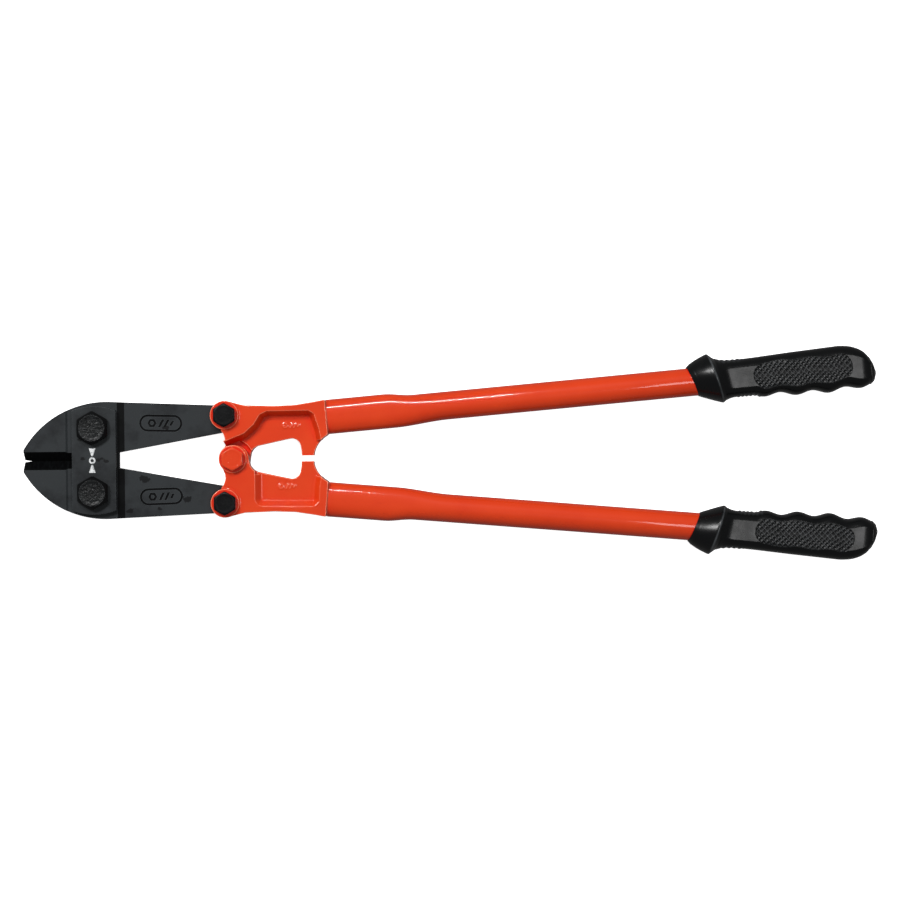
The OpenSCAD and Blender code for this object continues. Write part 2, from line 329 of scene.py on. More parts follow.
def cut(shape: Shape, tool: Shape) -> Shape:
    """Cuts one closed shape out of another.

    Args:
        shape: The shape that is cut, which is freed.
        tool: The cutter, which is freed.

    Returns:
        What is left.
    """
    mesh = bpy.data.meshes.new("cutter")
    tool.to_mesh(mesh)
    tool.free()
    cutter = bpy.data.objects.new("cutter", mesh)
    bpy.context.scene.collection.objects.link(cutter)
    left = with_modifier(
        shape, "BOOLEAN", {"operation": "DIFFERENCE", "solver": "EXACT", "object": cutter}
    )
    bpy.data.objects.remove(cutter)
    bpy.data.meshes.remove(mesh)
    return left


def break_edges(
    shape: Shape, width: float, sharpest: float = 25.0, keep: Optional[Callable] = None
) -> None:
    """Rounds the sharp edges of a shape.

    Args:
        shape: The shape to dress.
        width: How far the rounding reaches from the edge.
        sharpest: The angle in degrees from which an edge counts as sharp.
        keep: Says whether an edge is left as it is.
    """
    limit = math.radians(sharpest)
    edges = [
        edge
        for edge in shape.edges
        if len(edge.link_faces) == 2
        and edge.calc_face_angle(0.0) > limit
        and not (keep and keep(edge))
    ]
    bmesh.ops.bevel(
        shape,
        geom=edges,
        offset=width,
        offset_type="OFFSET",
        segments=2,
        profile=0.5,
        affect="EDGES",
        clamp_overlap=True,
        material=-1,
    )


# ------------------------------------------------------------------ materials


def linear(colour: str) -> tuple[float, float, float, float]:
    """Turns an sRGB hex colour to the linear values that a shader takes.

    Args:
        colour: Six hex digits after a hash.

    Returns:
        Linear red, green and blue, and an alpha of one.
    """
    values = [int(colour[start : start + 2], 16) / 255 for start in (1, 3, 5)]
    straight = [v / 12.92 if v <= 0.04045 else ((v + 0.055) / 1.055) ** 2.4 for v in values]
    return (*straight, 1.0)


def add_node(tree: bpy.types.NodeTree, kind: str, settings: dict[Any, Any]) -> bpy.types.Node:
    """Adds one node to a tree, with its settings and its links.

    Args:
        tree: The tree that grows.
        kind: The node's type.
        settings: Values for its sockets or, where no socket has that name, itself.
            A value that is a socket is linked.

    Returns:
        The new node.
    """
    node = tree.nodes.new(kind)
    for key, value in settings.items():
        if isinstance(value, bpy.types.NodeSocket):
            tree.links.new(value, node.inputs[key])
        elif isinstance(key, int) or key in node.inputs:
            node.inputs[key].default_value = value
        else:
            setattr(node, key, value)
    return node


@dataclass(frozen=True)
class Canvas:
    """A material's tree while it is painted, with a short word for each kind of node."""

    tree: bpy.types.NodeTree
    shader: bpy.types.Node
    place: Socket

    def add(self, kind: str, settings: dict[Any, Any]) -> bpy.types.Node:
        """Adds a shader node."""
        return add_node(self.tree, f"ShaderNode{kind}", settings)

    def noise(
        self, size: float, detail: float, rough: float = 0.5, place: Optional[Socket] = None
    ) -> Socket:
        """Cloudy noise.

        Args:
            size: About how large one cloud is, in millimetres.
            detail: How many finer layers it has.
            rough: How strong they are.
            place: Where it is read, or nothing for the object's own coordinates.

        Returns:
            A value from 0 to 1.
        """
        settings = {"Scale": MM_PER_METRE / size, "Detail": detail, "Roughness": rough}
        return self.add("TexNoise", {**settings, "Vector": place or self.place}).outputs["Fac"]

    def ramp(self, value: Socket, *stops: tuple[float, str]) -> Socket:
        """Turns a value to a colour.

        Args:
            value: The value.
            stops: The (value, hex colour) pairs that it passes.

        Returns:
            The colour.
        """
        node = self.add("ValToRGB", {"Fac": value})
        elements = node.color_ramp.elements
        while len(elements) < len(stops):
            elements.new(0.5)
        for element, (position, colour) in zip(elements, stops):
            element.position = position
            element.color = linear(colour)
        return node.outputs["Color"]

    def cover(self, share: Socket, under: Socket, over: str) -> Socket:
        """Covers a share of one colour with another."""
        settings = {"data_type": "RGBA", 0: share, 6: under, 7: linear(over)}
        return self.add("Mix", settings).outputs[2]

    def spread(
        self, value: Socket, start: float, end: float, to_start: float, to_end: float
    ) -> Socket:
        """Maps the span from start to end onto the span from to_start to to_end, and no further."""
        ends = {"From Min": start, "From Max": end, "To Min": to_start, "To Max": to_end}
        return self.add("MapRange", {**ends, "Value": value}).outputs[0]

    def maths(self, operation: str, *values: Any) -> Socket:
        """Works one sum, on sockets and plain numbers."""
        return self.add("Math", {"operation": operation, **dict(enumerate(values))}).outputs[0]

    def vector(self, operation: str, output: str, *values: Any) -> Socket:
        """Works one sum on vectors and takes the named output."""
        settings = {"operation": operation, **dict(enumerate(values))}
        return self.add("VectorMath", settings).outputs[output]

    def attribute(self, name: str) -> Socket:
        """Reads one of the piece's own point values."""
        return self.add("Attribute", {"attribute_name": name}).outputs["Fac"]

    def edges(self, width: float, low: float, high: float) -> Socket:
        """Finds the edges of the shape, where a coating is thin and wears first.

        Args:
            width: How far an edge reaches, in millimetres.
            low: The turn of the surface at which wear starts.
            high: The turn at which it is full.

        Returns:
            A socket that is 1 on edges and 0 on plain faces.
        """
        rounded = self.add("Bevel", {"samples": 4, "Radius": width * METRES_PER_MM}).outputs[0]
        facing = self.add("NewGeometry", {}).outputs["Normal"]
        match = self.vector("DOT_PRODUCT", "Value", rounded, facing)
        return self.spread(match, 1 - low, 1 - high, 0.0, 1.0)

    def feed(self, **sockets: Socket) -> None:
        """Links sockets to the shader, by its inputs' names with lines for spaces."""
        for name, socket in sockets.items():
            self.tree.links.new(socket, self.shader.inputs[name.replace("_", " ")])

    def bump(self, height: Socket, strength: float, distance: float) -> Socket:
        """Makes the surface rough, and feeds that to the shader.

        Args:
            height: The relief, from 0 to 1.
            strength: How strongly it shows.
            distance: How high it is, in millimetres.

        Returns:
            The rough surface's normal.
        """
        settings = {"Strength": strength, "Distance": distance * METRES_PER_MM}
        normal = self.add("Bump", {**settings, "Height": height}).outputs[0]
        self.feed(Normal=normal)
        return normal


@dataclass(frozen=True)
class Finish:
    """What every finish has: its name, its gloss and the way its material is made."""

    name: str
    roughness: float = 0.5
    specular: float = 0.5

    def build(self) -> bpy.types.Material:
        """Makes the material with its shader and its output, and paints it.

        Returns:
            The material.
        """
        material = bpy.data.materials.new(self.name)
        material.use_nodes = True
        tree = material.node_tree
        tree.nodes.clear()
        gloss = {"Roughness": self.roughness, "Specular IOR Level": self.specular}
        shader = add_node(tree, "ShaderNodeBsdfPrincipled", gloss)
        add_node(tree, "ShaderNodeOutputMaterial", {"Surface": shader.outputs[0]})
        place = add_node(tree, "ShaderNodeTexCoord", {}).outputs["Object"]
        self.paint(Canvas(tree, shader, place))
        return material

    def paint(self, canvas: Canvas) -> None:
        """Adds the finish's own nodes."""
        raise NotImplementedError


@dataclass(frozen=True)
class ForgedBlack(Finish):
    """Drop-forged chrome-molybdenum steel under a thin satin black lacquer.

    The lacquer is a dark neutral grey that follows the scale left by forging. It is
    darker where it has run thick, bare and glossy where it has chipped, and a little
    brighter along edges that have rubbed.
    """

    base: str = "#2b2e30"
    thick: str = "#1e2022"
    rubbed: str = "#5f6366"
    chipped: str = "#070708"
    chips: tuple[tuple[float, float, float], ...] = ()
    chip_fade: float = 0.9
    chip_share: float = 0.85
    chip_squash: float = 1.6
    rub_share: float = 0.75
    grain: float = 0.9
    grain_height: float = 0.05
    speckle: str = "#5a5a5a"

    def paint(self, canvas: Canvas) -> None:
        """Adds the clouded tone, the bright speckle, the rubbed edges and the chips.

        Args:
            canvas: The material's canvas.
        """
        cloud = canvas.noise(24, 4.0, 0.6)
        scale = canvas.noise(self.grain, 3.0, 0.6)
        tone = canvas.ramp(cloud, (0.34, self.thick), (0.52, self.base), (0.8, self.base))
        speckle = canvas.ramp(scale, (0.60, "#000000"), (0.76, self.speckle))
        colour = canvas.cover(speckle, tone, self.rubbed)
        edge = canvas.maths("MULTIPLY", canvas.edges(0.45, 0.04, 0.3), self.rub_share)
        colour = canvas.cover(edge, colour, self.rubbed)
        if self.chips:
            colour = self.with_chips(canvas, colour)
        low, high = self.roughness - 0.10, self.roughness + 0.12
        canvas.feed(Base_Color=colour, Roughness=canvas.spread(cloud, 0.0, 1.0, low, high))
        canvas.bump(scale, 0.6, self.grain_height)

    def with_chips(self, canvas: Canvas, colour: Socket) -> Socket:
        """Adds the dark spots where the lacquer has chipped or pooled.

        Args:
            canvas: The material's canvas.
            colour: The colour so far.

        Returns:
            The colour with its spots.
        """
        wander = canvas.spread(canvas.noise(2.2, 3.0), 0.3, 0.7, 0.35, 1.5)
        fade = self.chip_fade * METRES_PER_MM
        flat = canvas.vector("MULTIPLY", "Vector", canvas.place, (1.0, self.chip_squash, 0.0))
        for x, y, radius in self.chips:
            spot = (x * METRES_PER_MM, y * METRES_PER_MM * self.chip_squash, 0.0)
            away = canvas.vector("DISTANCE", "Value", flat, spot)
            limit = canvas.maths("MULTIPLY", wander, radius * METRES_PER_MM)
            past = canvas.maths("SUBTRACT", limit, away)
            inside = canvas.spread(past, 0.0, fade, 0.0, self.chip_share)
            colour = canvas.cover(inside, colour, self.chipped)
        return colour


@dataclass(frozen=True)
class GroundEdge(Finish):
    """Cutting bevel, ground across and blackened, with fine marks along the stroke."""

    base: str = "#030304"
    mark: str = "#101213"
    stretch: tuple[float, float, float] = (9.0, 1.0, 1.0)

    def paint(self, canvas: Canvas) -> None:
        """Adds the strokes that the grinding wheel left.

        Args:
            canvas: The material's canvas.
        """
        stretched = canvas.add("Mapping", {"Scale": self.stretch, "Vector": canvas.place})
        strokes = canvas.noise(6, 5.0, 0.7, stretched.outputs[0])
        canvas.feed(Base_Color=canvas.ramp(strokes, (0.45, self.base), (0.75, self.mark)))
        canvas.bump(strokes, 0.35, 0.03)


@dataclass(frozen=True)
class Enamel(Finish):
    """Red-orange stoving enamel, sprayed thick over a forging or a drawn tube.

    The film is glossy with a faint orange peel. Its colour holds a painted shade, a deeper
    red in corners and hollows, and a painted highlight, a pale line over sharp crests. It
    lets the dark steel through along a few rubbed edges.
    """

    base: str = "#cf360f"
    light: str = "#d53d13"
    # Painted shade: the deeper red laid into corners and hollows
    deep: str = "#d01c00"
    bare: str = "#4a221c"
    # Painted highlight: the pale pink that sharp crests are turned
    thin: str = "#ff9473"
    coat: float = 0.7
    coat_roughness: float = 0.05
    shade_reach: float = 7.0
    painted_highlight_share: float = 0.75
    peel: float = 1.8
    peel_height: float = 0.02
    wear: float = 0.5

    def paint(self, canvas: Canvas) -> None:
        """Adds the tone, the painted shade in nooks, the painted highlight on crests, the rubbed
        edges and the peel.

        Args:
            canvas: The material's canvas.
        """
        canvas.shader.inputs["Coat Weight"].default_value = self.coat
        canvas.shader.inputs["Coat Roughness"].default_value = self.coat_roughness
        colour = canvas.ramp(canvas.noise(30, 3.0), (0.35, self.base), (0.7, self.light))
        # Painted shade: ambient occlusion turns the red to the painted shade colour in corners and
        # hollows
        reach = {"samples": 6, "Distance": self.shade_reach * METRES_PER_MM}
        shade = canvas.add("AmbientOcclusion", reach).outputs["AO"]
        colour = canvas.cover(canvas.spread(shade, 0.6, 0.92, 1.0, 0.0), colour, self.deep)
        # Painted highlight: sharp crests, found by pointiness, turn pale pink
        point = canvas.add("NewGeometry", {}).outputs["Pointiness"]
        crest = canvas.spread(point, 0.512, 0.545, 0.0, self.painted_highlight_share)
        colour = canvas.cover(crest, colour, self.thin)
        flake = canvas.spread(canvas.noise(2.4, 4.0, 0.7), 0.52, 0.62, 0.0, self.wear)
        rubbed = canvas.maths("MULTIPLY", canvas.edges(0.5, 0.05, 0.35), flake)
        canvas.feed(Base_Color=canvas.cover(rubbed, colour, self.bare))
        canvas.feed(Coat_Normal=canvas.bump(canvas.noise(self.peel, 2.0), 0.5, self.peel_height))


@dataclass(frozen=True)
class GripVinyl(Finish):
    """Dip-moulded black vinyl, satin, with the tops of its pattern lighter grey and a painted
    highlight along the guard's ridge.
    """

    base: str = "#070809"
    # Lighter grey for the pattern's tops, also used as the painted highlight along the guard's
    # ridge
    lighter_tops_and_highlight: str = "#6a6e71"
    line_half: float = 0.06
    line_share: float = 0.5
    pad_matt: float = 0.1

    def paint(self, canvas: Canvas) -> None:
        """Adds the lighter tops with the painted highlight, the matt pad and the skin of the mould.

        Args:
            canvas: The material's canvas.
        """
        cloud = canvas.noise(9, 4.0)
        pad = canvas.attribute("pad_share")
        patchiness = canvas.spread(cloud, 0.35, 0.7, 0.35, 1.0)
        share = canvas.maths("MULTIPLY", self.tops(canvas, pad), patchiness)
        ends = {6: linear(self.base), 7: linear(self.lighter_tops_and_highlight)}
        colour = canvas.add("Mix", {"data_type": "RGBA", 0: share, **ends}).outputs[2]
        low, high = self.roughness - 0.08, self.roughness + 0.12
        gloss = canvas.spread(cloud, 0.0, 1.0, low, high)
        matt = canvas.maths("MULTIPLY_ADD", pad, self.pad_matt, gloss)
        canvas.feed(Base_Color=colour, Roughness=matt)
        canvas.bump(canvas.noise(0.7, 3.0), 0.5, 0.03)

    def tops(self, canvas: Canvas, pad: Socket) -> Socket:
        """Finds the tops of the ribs and of the chequering, whose lines cross the pad, and the
        guard's ridge with its painted highlight.

        Args:
            canvas: The material's canvas.
            pad: How far inside the pad a point is.

        Returns:
            A socket that is 1 on every top.
        """
        # The ridge value carries the painted highlight along the guard's ridge and the lighter rib
        # tops
        top = canvas.attribute("ridge")
        for name in ("hatch_a", "hatch_b"):
            away = canvas.maths("PINGPONG", canvas.attribute(name), 0.5)
            line = canvas.spread(away, self.line_half / 2, self.line_half, self.line_share, 0.0)
            top = canvas.maths("MAXIMUM", top, canvas.maths("MULTIPLY", line, pad))
        return top


@dataclass(frozen=True)
class PadInk(Finish):
    """White pad-printing ink, thin enough for the lacquer to grin through."""

    base: str = "#d9dbdb"
    thin: str = "#85898b"

    def paint(self, canvas: Canvas) -> None:
        """Adds the uneven film."""
        grin = canvas.noise(1.2, 3.0)
        canvas.feed(Base_Color=canvas.ramp(grin, (0.35, self.thin), (0.55, self.base)))


@dataclass(frozen=True)
class PaperSweep(Finish):
    """White studio paper, lit from behind so that it stays a clean white."""

    base: str = "#f4f4f4"
    fibre: str = "#f2f2f2"
    glow: float = 0.94

    def paint(self, canvas: Canvas) -> None:
        """Adds the fibre and the glow.

        Args:
            canvas: The material's canvas.
        """
        cloud = canvas.noise(40, 2.0)
        canvas.feed(Base_Color=canvas.ramp(cloud, (0.3, self.fibre), (0.7, self.base)))
        canvas.shader.inputs["Emission Color"].default_value = linear("#ffffff")
        canvas.shader.inputs["Emission Strength"].default_value = self.glow


# Dark spots on the front of the strap plates and the jaws: centre and size, in millimetres
PLATE_CHIPS = ((-107.5, 15.2, 2.6), (-105.5, 1.5, 2.2), (-94.5, 0.6, 3.0), (-89.0, -0.8, 2.4))
JAW_CHIPS = (
    (-133.0, 29.5, 2.2),
    (-69.5, 44.0, 3.0),
    (-46.5, 40.0, 3.4),
    (-47.0, 22.6, 3.0),
    (-63.0, -13.5, 4.2),
    (-32.5, -28.0, 4.0),
    (-72.5, -36.0, 3.4),
    (-52.0, -35.0, 2.2),
)

LACQUER = ForgedBlack("forged_steel_black_lacquer", 0.5, 0.12, chips=JAW_CHIPS)
PLATE_LACQUER = ForgedBlack("pressed_steel_black_lacquer", 0.46, 0.14, chips=PLATE_CHIPS)
BOLT_OXIDE = ForgedBlack(
    "black_oxide_bolt_steel",
    0.38,
    0.2,
    base="#131516",
    thick="#08090a",
    rubbed="#7c8184",
    grain=0.8,
    grain_height=0.2,
    speckle="#c0c0c0",
)
# Painted shade: a nearly black copy of the lacquer, for the jaws' sunk oval and marks and as the
# plates' shadow on the slope past their end
PAINTED_SHADE_LACQUER = ForgedBlack(
    "pooled_black_lacquer",
    0.35,
    0.1,
    base="#060708",
    thick="#030304",
    rubbed="#1b1d1f",
    grain_height=0.02,
)
# Painted shade on the jaw bolts' sides, as a darker copy of the bolt oxide; the tail bolts take it
# as their whole colour
BOLT_DARK_AND_SIDE_SHADE = ForgedBlack(
    "black_oxide_bolt_side",
    0.32,
    0.15,
    base="#0a0b0c",
    thick="#070708",
    rubbed="#3a3d3f",
    grain=1.1,
    grain_height=0.05,
)
GROUND = GroundEdge("ground_blackened_steel", 0.42, 0.12)
HEAD_ENAMEL = Enamel("stoving_enamel_on_forging", 0.42, 0.1, peel=2.2, peel_height=0.05)
BOLT_ENAMEL = Enamel("stoving_enamel_on_bolt", 0.42, 0.1, painted_highlight_share=0.2, wear=0.2)
TUBE_ENAMEL = Enamel("stoving_enamel_on_tube", 0.42, 0.1, wear=0.2, peel=3.0, peel_height=0.0015)
VINYL = GripVinyl("dip_moulded_vinyl", 0.24, 0.26)
INK = PadInk("pad_print_ink", 0.55, 0.3)
PAPER = PaperSweep("studio_paper", 0.9, 0.1)

BUILT: dict[str, bpy.types.Material] = {}


def material_of(finish: Finish) -> bpy.types.Material:
    """Builds a finish once and gives the same material whenever it is asked for.

    Args:
        finish: The finish.

    Returns:
        Its material.
    """
    if finish.name not in BUILT:
        BUILT[finish.name] = finish.build()
    return BUILT[finish.name]


# --------------------------------------------------------------------- pieces


def add_piece(
    shape: Shape,
    name: str,
    body: Body,
    slot: Slot,
    finishes: Sequence[Finish],
    stands_for: Iterable[str] = (),
    crease: float = 32.0,
    weighted: bool = False,
) -> bpy.types.Object:
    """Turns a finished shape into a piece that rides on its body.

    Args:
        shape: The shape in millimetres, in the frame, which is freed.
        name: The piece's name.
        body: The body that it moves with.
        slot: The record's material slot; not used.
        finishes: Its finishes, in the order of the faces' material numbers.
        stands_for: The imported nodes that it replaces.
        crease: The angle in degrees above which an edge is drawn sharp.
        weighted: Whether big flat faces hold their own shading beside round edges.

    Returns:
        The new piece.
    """
    bmesh.ops.scale(shape, vec=(METRES_PER_MM,) * 3, verts=shape.verts)
    limit = math.radians(crease)
    for face in shape.faces:
        face.smooth = True
    for edge in shape.edges:
        edge.smooth = len(edge.link_faces) == 2 and edge.calc_face_angle(0.0) < limit
    mesh = bpy.data.meshes.new(name)
    shape.to_mesh(mesh)
    shape.free()
    for finish in finishes:
        mesh.materials.append(material_of(finish))
    piece = bpy.data.objects.new(name, mesh)
    bpy.context.scene.collection.objects.link(piece)
    if weighted:
        modifier = piece.modifiers.new("even_shading", "WEIGHTED_NORMAL")
        modifier.keep_sharp = True
        modifier.weight = 100
    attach(piece, body.value)
    if stands_for:
        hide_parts(*stands_for)
    triangles = sum(len(polygon.vertices) - 2 for polygon in mesh.polygons)
    LOG.info("%s: %d triangles on %s", name, triangles, body.value)
    return piece


def ring(radius: Measure, height: Measure) -> Ring:
    """A ring round the Z axis, whose radius and height are numbers or rules for a turn.

    Args:
        radius: How far out the ring runs.
        height: How high it runs.

    Returns:
        The rule that gives the ring's point for a turn.
    """

    def point(turn: float) -> Vector:
        """The ring's point at a turn."""
        reach, level = (m(turn) if callable(m) else m for m in (radius, height))
        return Vector((reach * math.cos(turn), reach * math.sin(turn), level))

    return point


def spun(rings: Sequence[Ring], columns: int) -> Shape:
    """Skins a row of rings into a closed shape, with so many columns round."""
    return wrap_grid(len(rings) - 1, columns, lambda row, at: rings[row](FULL_TURN * at / columns))


@dataclass(frozen=True)
class Hexagon:
    """Plan of a hexagon head or nut: its flats face along X."""

    across_flats: float
    rounding: float = 0.25
    easing: float = 0.12

    def reach(self, turn: float) -> float:
        """The distance from the axis to the side, in the direction of a turn."""
        sixth = FULL_TURN / 6
        return self.across_flats / 2 / math.cos((turn + sixth / 2) % sixth - sixth / 2)

    @property
    def corner(self) -> float:
        """The distance from the axis to a corner."""
        return self.reach(FULL_TURN / 12)

    def softened(self, turn: float) -> float:
        """The reach with the six corners slightly rounded."""
        sharp = self.reach(turn)
        return min(sharp, self.corner - self.rounding - self.easing * (self.corner - sharp))


@dataclass(frozen=True)
class HexBolt:
    """Forged hexagon bolt, with a domed chamfer and a rolled thread at its end.

    Heights are measured from the plane that the tool lies on.
    """

    shank_r: float
    across_flats: float
    seat: float
    top: float
    face_r: float
    chamfer: float
    pitch: float
    crater: float
    roughening: float
    seed: float
    thread_len: float = 9.0
    thread_step: float = 0.25
    thread_depth: float = 0.55
    lead_in: float = 0.7
    rim_round: float = 0.2
    rim_drop: float = 0.04
    dome: float = 0.1
    face_rings: int = 24
    columns: int = 96

    @property
    def plan(self) -> Hexagon:
        """The head's plan."""
        return Hexagon(self.across_flats)

    @property
    def washer_r(self) -> float:
        """The radius of the washer face under the head."""
        return self.across_flats / 2 * 0.97

    @property
    def inner(self) -> float:
        """The radius at which the forged face starts."""
        return self.face_r * 0.985

    def fall(self, past: float) -> float:
        """How far the chamfer falls over a reach past its start."""
        return max(0.0, past) * math.tan(math.radians(self.chamfer))

    def under(self, turn: float) -> float:
        """The height of the head's underside, which is chamfered half as much as the top."""
        return self.seat + 0.05 + self.fall(self.plan.reach(turn) - self.washer_r) * 0.5

    def over(self, turn: float) -> float:
        """The height at which the chamfer meets the head's side."""
        return self.top - self.fall(self.plan.softened(turn) - self.face_r)

    def build(self) -> Shape:
        """Builds the bolt on the Z axis.

        Returns:
            The closed bolt.
        """
        shank, side = self.shank_r - CLEAR, self.plan.softened
        rings = [ring(0.0, 0.35), ring(self.shank_r * 0.45, 0.3), ring(self.shank_r - 1.1, 0.2)]
        steps = int(self.thread_len / self.thread_step)
        rings += [self.thread_ring(step / steps) for step in range(steps + 1)]
        rings += [
            ring(shank, self.thread_len + 1.2),
            ring(shank, self.seat - 0.1),
            ring(self.washer_r, self.seat + CLEAR),
            ring(lambda t: side(t) - 0.12, self.under),
            ring(side, lambda t: self.under(t) + 0.25),
            ring(side, lambda t: (self.under(t) + self.over(t)) / 2),
            ring(side, lambda t: self.over(t) - 0.35),
            ring(lambda t: side(t) - self.rim_round, lambda t: self.over(t) - CLEAR),
        ]
        rings += [self.chamfer_ring(share) for share in (0.7, 0.35)]
        rings.append(ring(self.inner, self.top - self.rim_drop))
        rings += [self.face_ring(step / self.face_rings) for step in range(1, self.face_rings + 1)]
        return spun(rings, self.columns)

    def thread_ring(self, share: float) -> Ring:
        """One ring of the rolled thread.

        Args:
            share: How far the ring is along the thread, from 0 to 1.

        Returns:
            The ring.
        """
        height = self.thread_step + self.thread_len * share
        taper = self.lead_in * (1 - smooth_step(0.0, 0.12, share))
        run_out = 1 - smooth_step(0.85, 1.0, share)

        def radius(turn: float) -> float:
            """The thread's reach at a turn."""
            phase = (height / self.pitch + turn / FULL_TURN) % 1.0
            return self.shank_r - CLEAR - abs(2 * phase - 1) * self.thread_depth * run_out - taper

        return ring(radius, height)

    def chamfer_ring(self, share: float) -> Ring:
        """One ring on the domed chamfer, between the forged face and the sides.

        Args:
            share: How near the ring is to the sides, from 0 to 1.

        Returns:
            The ring.
        """
        level = self.top - self.rim_drop

        def past(turn: float) -> float:
            """How far the chamfer runs out from the forged face."""
            return self.plan.softened(turn) - self.rim_round - self.inner

        def height(turn: float) -> float:
            """The chamfer's height, with its dome."""
            bulge = self.dome * math.sin(math.pi * share) / (self.plan.corner - self.inner)
            return level + (self.over(turn) - CLEAR - level) * share + bulge * past(turn)

        return ring(lambda turn: self.inner + past(turn) * share, height)

    def face_ring(self, share: float) -> Ring:
        """One ring of the forged face, which is rough and slightly sunk.

        Args:
            share: How near the ring is to the middle, from 0 to 1.

        Returns:
            The ring.
        """
        radius = self.inner * (1 - share)
        level = self.top - self.rim_drop - self.crater * smooth_step(0.05, 0.3, share)

        def height(turn: float) -> float:
            """The rough height at a turn."""
            spot = Vector((radius * math.cos(turn), radius * math.sin(turn), self.seed))
            rough = noise.noise(spot * 0.8) + 0.8 * noise.noise(spot * 1.7)
            return level + self.roughening * rough

        return ring(radius, height)


@dataclass(frozen=True)
class HexNut:
    """Hexagon nut, chamfered on both faces and countersunk at its thread."""

    bore_r: float
    across_flats: float
    low: float
    high: float
    chamfer: float = 30.0
    side_inset: float = 0.12
    rim_inset: float = 0.15
    upper_share: float = 0.6
    columns: int = 72

    def build(self) -> Shape:
        """Builds the nut on the Z axis.

        Returns:
            The closed nut.
        """
        plan = Hexagon(self.across_flats)
        slope = math.tan(math.radians(self.chamfer))
        face_r = self.across_flats / 2 * 0.95
        bore, low, high = self.bore_r, self.low, self.high

        def rim(turn: float) -> float:
            """How far the chamfer cuts the rim back at a turn."""
            return max(0.0, plan.reach(turn) - self.rim_inset - face_r) * slope

        def side(turn: float) -> float:
            """The reach of the nut's side."""
            return plan.reach(turn) - self.side_inset

        rings = [
            ring(bore, low + 1.0),
            ring(bore + 0.7, low + 0.12),
            ring(bore + 1.0, low),
            ring(face_r, low),
            ring(lambda t: side(t) - 0.1, lambda t: low + rim(t)),
            ring(side, lambda t: low + rim(t) + 0.25),
            ring(side, lambda t: high - rim(t) * self.upper_share - 0.2),
            ring(lambda t: side(t) - 0.15, lambda t: high - rim(t) * self.upper_share),
            ring(face_r, high),
            ring(bore + 0.8, high),
            ring(bore, high - 0.6),
            ring(bore, low + 1.0),
        ]
        return spun(rings, self.columns)


@dataclass(frozen=True)
class Washer:
    """Flat stamped washer with one rolled edge."""

    bore_r: float
    outer_r: float
    low: float
    high: float
    roll: float = 0.3
    burr: float = 0.1
    columns: int = 72

    def build(self) -> Shape:
        """Builds the washer on the Z axis.

        Returns:
            The closed washer.
        """
        bore, outer, low, high, roll = self.bore_r, self.outer_r, self.low, self.high, self.roll
        rings = [
            ring(bore, low + roll / 2),
            ring(bore + roll / 2, low),
            ring(outer - roll, low),
            ring(outer - roll * 0.3, low + roll * 0.3),
            ring(outer, low + roll),
            ring(outer, high - 0.08),
            ring(outer - 0.08, high),
            ring(bore + self.burr, high),
            ring(bore, high - self.burr),
            ring(bore, low + roll / 2),
        ]
        return spun(rings, self.columns)


class Part(Enum):
    """The parts of a pivot, and how each is made."""

    BOLT = "forged"
    NUT = "turned"
    WASHER = "stamped"


@dataclass(frozen=True)
class Pivot:
    """A pivot's bolt, nut and washer: their looks, and the sizes that no box can tell."""

    shank_r: float
    flats: float
    head_h: float
    slot: Slot
    finish: Finish
    bolt_finishes: tuple[Finish, ...]
    face_share: float = 0.94
    chamfer: float = 25.0
    pitch: float = 1.5
    crater: float = 0.1
    roughening: float = 0.05

    def build(self, names: str, body: Body, parts: Iterable[Part] = Part) -> None:
        """Builds the pivot's parts and puts them on their body.

        Args:
            names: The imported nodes' names, with a gap for the kind of part.
            body: The body that they ride on.
            parts: The parts that this pivot has.
        """
        for part in parts:
            node = names.format(part.name.lower())
            low, high = box_mm(node)
            centre = (low + high) / 2
            lift, finishes = 0.0, (self.finish,)
            if part is Part.BOLT:
                lift, finishes = low.z, self.bolt_finishes
                shape = self.bolt(high.z, centre.y)
            elif part is Part.NUT:
                shape = HexNut(self.shank_r - 0.06, self.flats, low.z, high.z).build()
            else:
                outer_r = (high.x - low.x) / 2 - CLEAR
                shape = Washer(self.shank_r + 0.05, outer_r, low.z, high.z).build()
            bmesh.ops.translate(shape, verts=shape.verts, vec=(centre.x, centre.y, lift))
            name = f"{node}_{part.value}"
            add_piece(shape, name, body, self.slot, finishes, [node], crease=28.0)

    def bolt(self, top: float, seed: float) -> Shape:
        """Builds the bolt and, where it has two finishes, paints shade on its sides with the
        second, a darker copy of the first.

        Args:
            top: The height of its head.
            seed: Makes its roughness its own.

        Returns:
            The bolt on the Z axis.
        """
        face_r = self.flats / 2 * self.face_share
        look = (self.chamfer, self.pitch, self.crater, self.roughening, seed)
        shape = HexBolt(self.shank_r, self.flats, top - self.head_h, top, face_r, *look).build()
        # Painted shade: on the jaw bolts the sides past the forged face take the darker oxide copy
        if len(self.bolt_finishes) > 1:
            for face in shape.faces:
                off_axis = face.calc_center_median().xy.length
                face.material_index = 0 if off_axis < face_r * 0.97 else 1
        return shape


